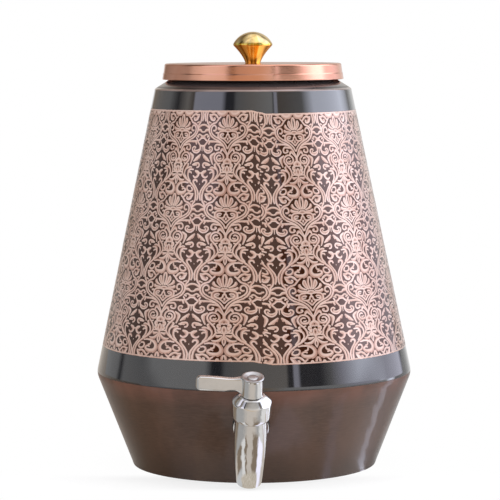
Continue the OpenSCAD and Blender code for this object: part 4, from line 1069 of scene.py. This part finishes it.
def damask_pieces():
    """The damask in two pieces, and the plain lines that close its band above and below."""
    tree = damask_tree()
    strokes = [stroke_points(marks) for marks in SCROLLS.values()]
    step, wide, inset = 1.6, 1.15, 0.5
    edges = [[Vector((i * step, level, wide)) for i in range(int(7.4 * 2 * HALF_REPEAT / step))]
             for level in (BAND_TOP + inset, BAND_FOOT - inset)]
    for name, lines, height, column, columns, row, rows in (
            ("damask_upper", strokes, INLAY_H, -1.0, 15, -1.0, 2),
            ("damask_lower", strokes, INLAY_H, -1.0, 15, 1.0, 3),
            ("band_edges", edges, INLAY_H + 0.03, 6.0, 1, 0.0, 1)):
        mesh = run_tree(name, stroke_mesh(name, lines), tree, {
            "Half repeat": HALF_REPEAT, "Repeat height": REPEAT_H, "First column": column,
            "Columns": columns, "First row": row, "Rows": rows, "Height": height, "Sunk": INLAY_SUNK,
            "Finish": INLAY})
        piece(name, mesh, VESSEL, "dark_gloss")


# Studio

# The surfaces of the room, by the light that they give off
DAY, SOFT_DAY, PALE = (2.3, 2.4, 2.8), (1.1, 1.1, 1.3), (0.8, 0.8, 0.8)
WALL, WARM_WALL, SHADE = (0.6, 0.55, 0.5), (0.65, 0.5, 0.35), (0.4, 0.4, 0.4)
WOOD, DARK = (0.25, 0.2, 0.15), (0.04, 0.04, 0.04)
# What stands round the object, by azimuth in degrees from the camera's side: a window at the
# right, a pale curtain at the left, and walls with a dark doorway and a dark post in front. The
# lid sees the lowest ring, the ridge the middle one and the shoulder the highest.
ROOM_LOW = [
    (-180, PALE), (-165, PALE), (-155, WOOD), (-120, SHADE), (-80, SHADE), (-65, PALE), (-35, PALE),
    (-25, WARM_WALL), (10, WARM_WALL), (25, PALE), (50, PALE), (65, PALE), (80, SOFT_DAY),
    (130, SOFT_DAY), (150, PALE), (180, PALE)]
ROOM_MIDDLE = [
    (-180, SHADE), (-165, PALE), (-140, SHADE), (-120, SHADE), (-115, DARK), (-110, SHADE), (-90, SHADE),
    (-80, PALE), (-36, PALE), (-30, DARK), (-24, DARK), (-20, SHADE), (0, WALL), (25, WALL), (27, DARK),
    (30, DARK), (31, SOFT_DAY), (34, SOFT_DAY), (36, DARK), (52, DARK), (60, SHADE), (70, SOFT_DAY),
    (85, DAY), (100, DAY), (115, SOFT_DAY), (138, SOFT_DAY), (144, DARK), (180, SHADE)]
ROOM_HIGH = [
    (-180, WALL), (-165, WALL), (-155, WOOD), (-110, SHADE), (-95, DARK), (-80, WALL), (-72, WOOD),
    (-70, SOFT_DAY), (-36, SOFT_DAY), (-30, DARK), (-22, DARK), (-18, SHADE), (0, WALL), (23, PALE),
    (25, DARK), (26, SOFT_DAY), (29, SOFT_DAY), (30, WOOD), (60, SHADE), (75, DAY), (120, DAY),
    (140, SHADE), (155, PALE), (180, WALL)]
BRIGHTEST = 3.5
CEILING_LEFT, CEILING_RIGHT = (0.55, 0.53, 0.50), (1.90, 1.90, 2.05)
SOFT_LIGHT, WHITE, FLOOR = (0.86, 0.86, 0.88), (1.0, 1.0, 1.0), (0.98, 0.98, 0.98)

# What the tap sees below it, by azimuth round the spout: the table near it, and the room past
# the table's edge, first low and then further out for the nut and the hub
TAP_STANDS = 0.100
BOARD_END, BESIDE_END, NEAR_END = (14.0, 18.5), (21, 27), (52, 60)
BOARD_LEFT, BOARD_RIGHT, BESIDE_FROM = (-72, -58), (56, 70), -58
TABLE, TABLE_GRAIN, BESIDE = (0.70, 0.64, 0.56), (0.48, 0.43, 0.35), (0.60, 0.61, 0.62)
BELOW = [
    (-180, WALL), (-105, WALL), (-95, WOOD), (-65, WOOD), (-55, PALE), (-37, PALE), (-31, WOOD),
    (-26, WOOD), (-20, WALL), (10, WALL), (18, WOOD), (42, WOOD), (56, SOFT_DAY), (85, SOFT_DAY),
    (105, WALL), (180, WALL)]
FURTHER = [
    (-180, SHADE), (-50, SHADE), (-20, WALL), (20, WALL), (48, SHADE), (60, PALE), (90, PALE),
    (105, SHADE), (180, SHADE)]
# What the lower cone sees below it, by the side of the cone in degrees
UNDER_CONE = [
    (-90, WALL), (-60, WOOD), (-45, WOOD), (-30, SHADE), (0, WARM_WALL), (33, WALL), (35, SOFT_DAY),
    (38, SOFT_DAY), (40, PALE), (59, PALE), (61, DAY), (64, DAY), (66, SHADE), (78, SHADE), (90, PALE)]

# How high the rings of the room reach, by the cosine of half the azimuth, and where the ceiling is
LID_MIRROR, RIDGE_MIRROR = (0.356, 0.1014, 0.605), (0.35, 0.02)
DIMMER_FROM, DIMMER_TO, CEILING_FROM, CEILING_TO = 0.48, 0.72, 0.72, 0.92


def scaled(colour, scale):
    return colour.node("ShaderNodeVectorMath", {"operation": "SCALE"}, {0: colour, "Scale": scale})


def ring_of(azimuth, parts):
    """Colours round the object, by an azimuth in degrees. Ramps for its left and right halves."""
    halves = []
    for start in (-180, 0):
        stops = [((at - start) / 180, tuple(c / BRIGHTEST for c in colour)) for at, colour in parts
                 if start <= at <= start + 180]
        along = azimuth / 180 - start / 180
        halves.append(along.node("ShaderNodeValToRGB", {"stops": stops}, {0: along}))
    return scaled((azimuth > 0).blend(*halves), BRIGHTEST)


def room_world():
    """The room in three rings and a ceiling for glossy pieces, even soft light, and white to the camera."""
    world = bpy.data.worlds.new("studio_room")
    tree = new_tree(world)
    way = Wire(tree).node("ShaderNodeTexCoord", out=0)
    x, y, z = way.parts()
    azimuth = azimuth_of(x, y * -1.0)
    half_turn = azimuth.maths("COSINE", azimuth * math.radians(0.5))
    lid_share = (z - half_turn * LID_MIRROR[0] + LID_MIRROR[1]) * (half_turn - LID_MIRROR[2])
    above_ridge = z - (half_turn * RIDGE_MIRROR[0] - RIDGE_MIRROR[1])
    room = lid_share.steps(-0.0008, 0.0008).blend(ring_of(azimuth, ROOM_LOW), ring_of(azimuth, ROOM_MIDDLE))
    room = above_ridge.steps(-0.012, 0.012).blend(room, ring_of(azimuth, ROOM_HIGH))
    room = scaled(room, 1 - z.steps(DIMMER_FROM, DIMMER_TO) * 0.5)
    cloud = way.node("ShaderNodeTexNoise", {}, {"Vector": way, "Scale": 3.0, "Detail": 2.0})
    ceiling = (x * 0.8 + cloud * 1.6).steps(0.2, 1.4).blend(CEILING_LEFT, CEILING_RIGHT)
    room = z.steps(CEILING_FROM, CEILING_TO).blend(room, ceiling)
    path = Wire(tree).node("ShaderNodeLightPath")
    seen = path.output(3).blend(SOFT_LIGHT, room)
    seen = path.maths("MAXIMUM", path, path.output(6)).blend(seen, WHITE)
    back = seen.node("ShaderNodeBackground", {}, {"Color": seen})
    back.node("ShaderNodeOutputWorld", {}, {0: back})
    bpy.context.scene.world = world


def floor_finish():
    """White to the camera, but for the object's soft shadow; a room below it to the glossy pieces."""
    made = bpy.data.materials.new("white_table")
    tree = new_tree(made)
    spot, x, y, z = place(tree)
    path = Wire(tree).node("ShaderNodeLightPath")
    out = y * -1.0 - TAP_STANDS
    away = (x * x + out * out) ** 0.5
    azimuth = azimuth_of(x, out) + (spot.noise(9, 1.0) - 0.5) * 34
    grain = combine(azimuth * 0.0005, away, 0.0).noise(2.5, 2.0)
    beside = (azimuth < BESIDE_FROM) * (1 - away.between(*BESIDE_END))
    board = (1 - away.between(*BOARD_END)) * azimuth.steps(*BOARD_LEFT) * (1 - azimuth.steps(*BOARD_RIGHT))
    tap_sees = beside.blend(ring_of(azimuth, BELOW), BESIDE)
    tap_sees = board.blend(tap_sees, grain.steps(0.3, 0.7).blend(TABLE, TABLE_GRAIN))
    tap_sees = away.between(*NEAR_END).blend(tap_sees, ring_of(azimuth, FURTHER))
    far = (x * x + y * y) ** 0.5
    side = azimuth_of(x, y * -1.0)
    side = side / ((far - 0.079) / far * 0.9 + 1) + (spot.noise(16, 1.0) - 0.5) * 7
    cone_sees = ring_of(side * 2, [(at * 2, colour) for at, colour in UNDER_CONE])
    in_front = (y < -0.09) * far.between(132, 145)
    for_cone = side.maths("ABSOLUTE", side).steps(24, 30) * (1 - in_front)
    glow = path.output(3).blend(WHITE, for_cone.blend(tap_sees, cone_sees))
    glow = glow.node("ShaderNodeEmission", {}, {"Color": glow})
    lit = glow.node("ShaderNodeBsdfDiffuse", {}, {"Color": rgba(FLOOR)})
    before = y.between(-108, -92) * (1 - y.between(-66, -46)) * (1 - far.between(130, 200))
    share = path * (1 - before * 0.3 - 0.02 * (1 - far.between(80, 120))) + path.output(3)
    mixed = share.node("ShaderNodeMixShader", {}, {0: share, 1: lit, 2: glow})
    mixed.node("ShaderNodeOutputMaterial", {}, {"Surface": mixed})
    return made


def from_above(azimuth, elevation):
    """The way towards a light, by its azimuth from the camera's side and its elevation."""
    return Vector((sin(azimuth) * cos(elevation), -cos(azimuth) * cos(elevation), sin(elevation)))


def studio():
    """The table, the room and the lamps, which glossy pieces don't show."""
    reach, aim = 6.0, Vector((0, 0, 0.13))
    corners = [(-reach, -reach, 0), (reach, -reach, 0), (reach, reach, 0), (-reach, reach, 0)]
    mesh = drawn("table", corners, [], [(0, 1, 2, 3)], 1)
    mesh.materials.append(floor_finish())
    add("table", mesh)
    room_world()
    for name, azimuth, elevation, distance, size, watts, colour in (
            ("window_light", 75, 28, 2.2, 2.0, 26, (0.95, 0.97, 1.0)),
            ("left_light", -55, 30, 2.4, 2.0, 9, (1.0, 0.97, 0.93)),
            ("top_light", 0, 80, 2.0, 2.0, 10, (1.0, 1.0, 1.0))):
        lamp = bpy.data.lights.new(name, "AREA")
        lamp.size, lamp.energy, lamp.color = size, watts, colour
        holder = add(name, lamp)
        back = from_above(azimuth, elevation)
        holder.location = aim + back * distance
        holder.rotation_mode = "QUATERNION"
        holder.rotation_quaternion = back.to_track_quat("Z", "Y")
        holder.visible_glossy = False


def camera():
    """The photograph's view: long lens, a little above the lid, looking slightly down."""
    away, height, side, pitch, aim, roll = 1.55, 0.2766, 1.2, 5.2, 0.0842, -0.22
    data = bpy.data.cameras.new("photo_view")
    data.sensor_width, data.lens = 36.0, 176.4
    data.clip_start, data.clip_end = 0.05, 30
    eye = add("photo_view", data)
    eye.matrix_world = Matrix.Translation((away * sin(side), -away * cos(side), height))
    for angle, axis in ((side + aim, "Z"), (90 - pitch, "X"), (roll, "Z")):
        eye.matrix_world = eye.matrix_world @ Matrix.Rotation(math.radians(angle), 4, axis)
    bpy.context.scene.camera = eye
    bpy.context.scene.view_settings.view_transform = "Standard"


camera()
studio()
upper_cone()
lower_cone()
foot_plate()
damask_pieces()
tap_barrel()
bonnet_nut()
tap_handle()
lid_cap()
knob_turned()
inner_nodes()
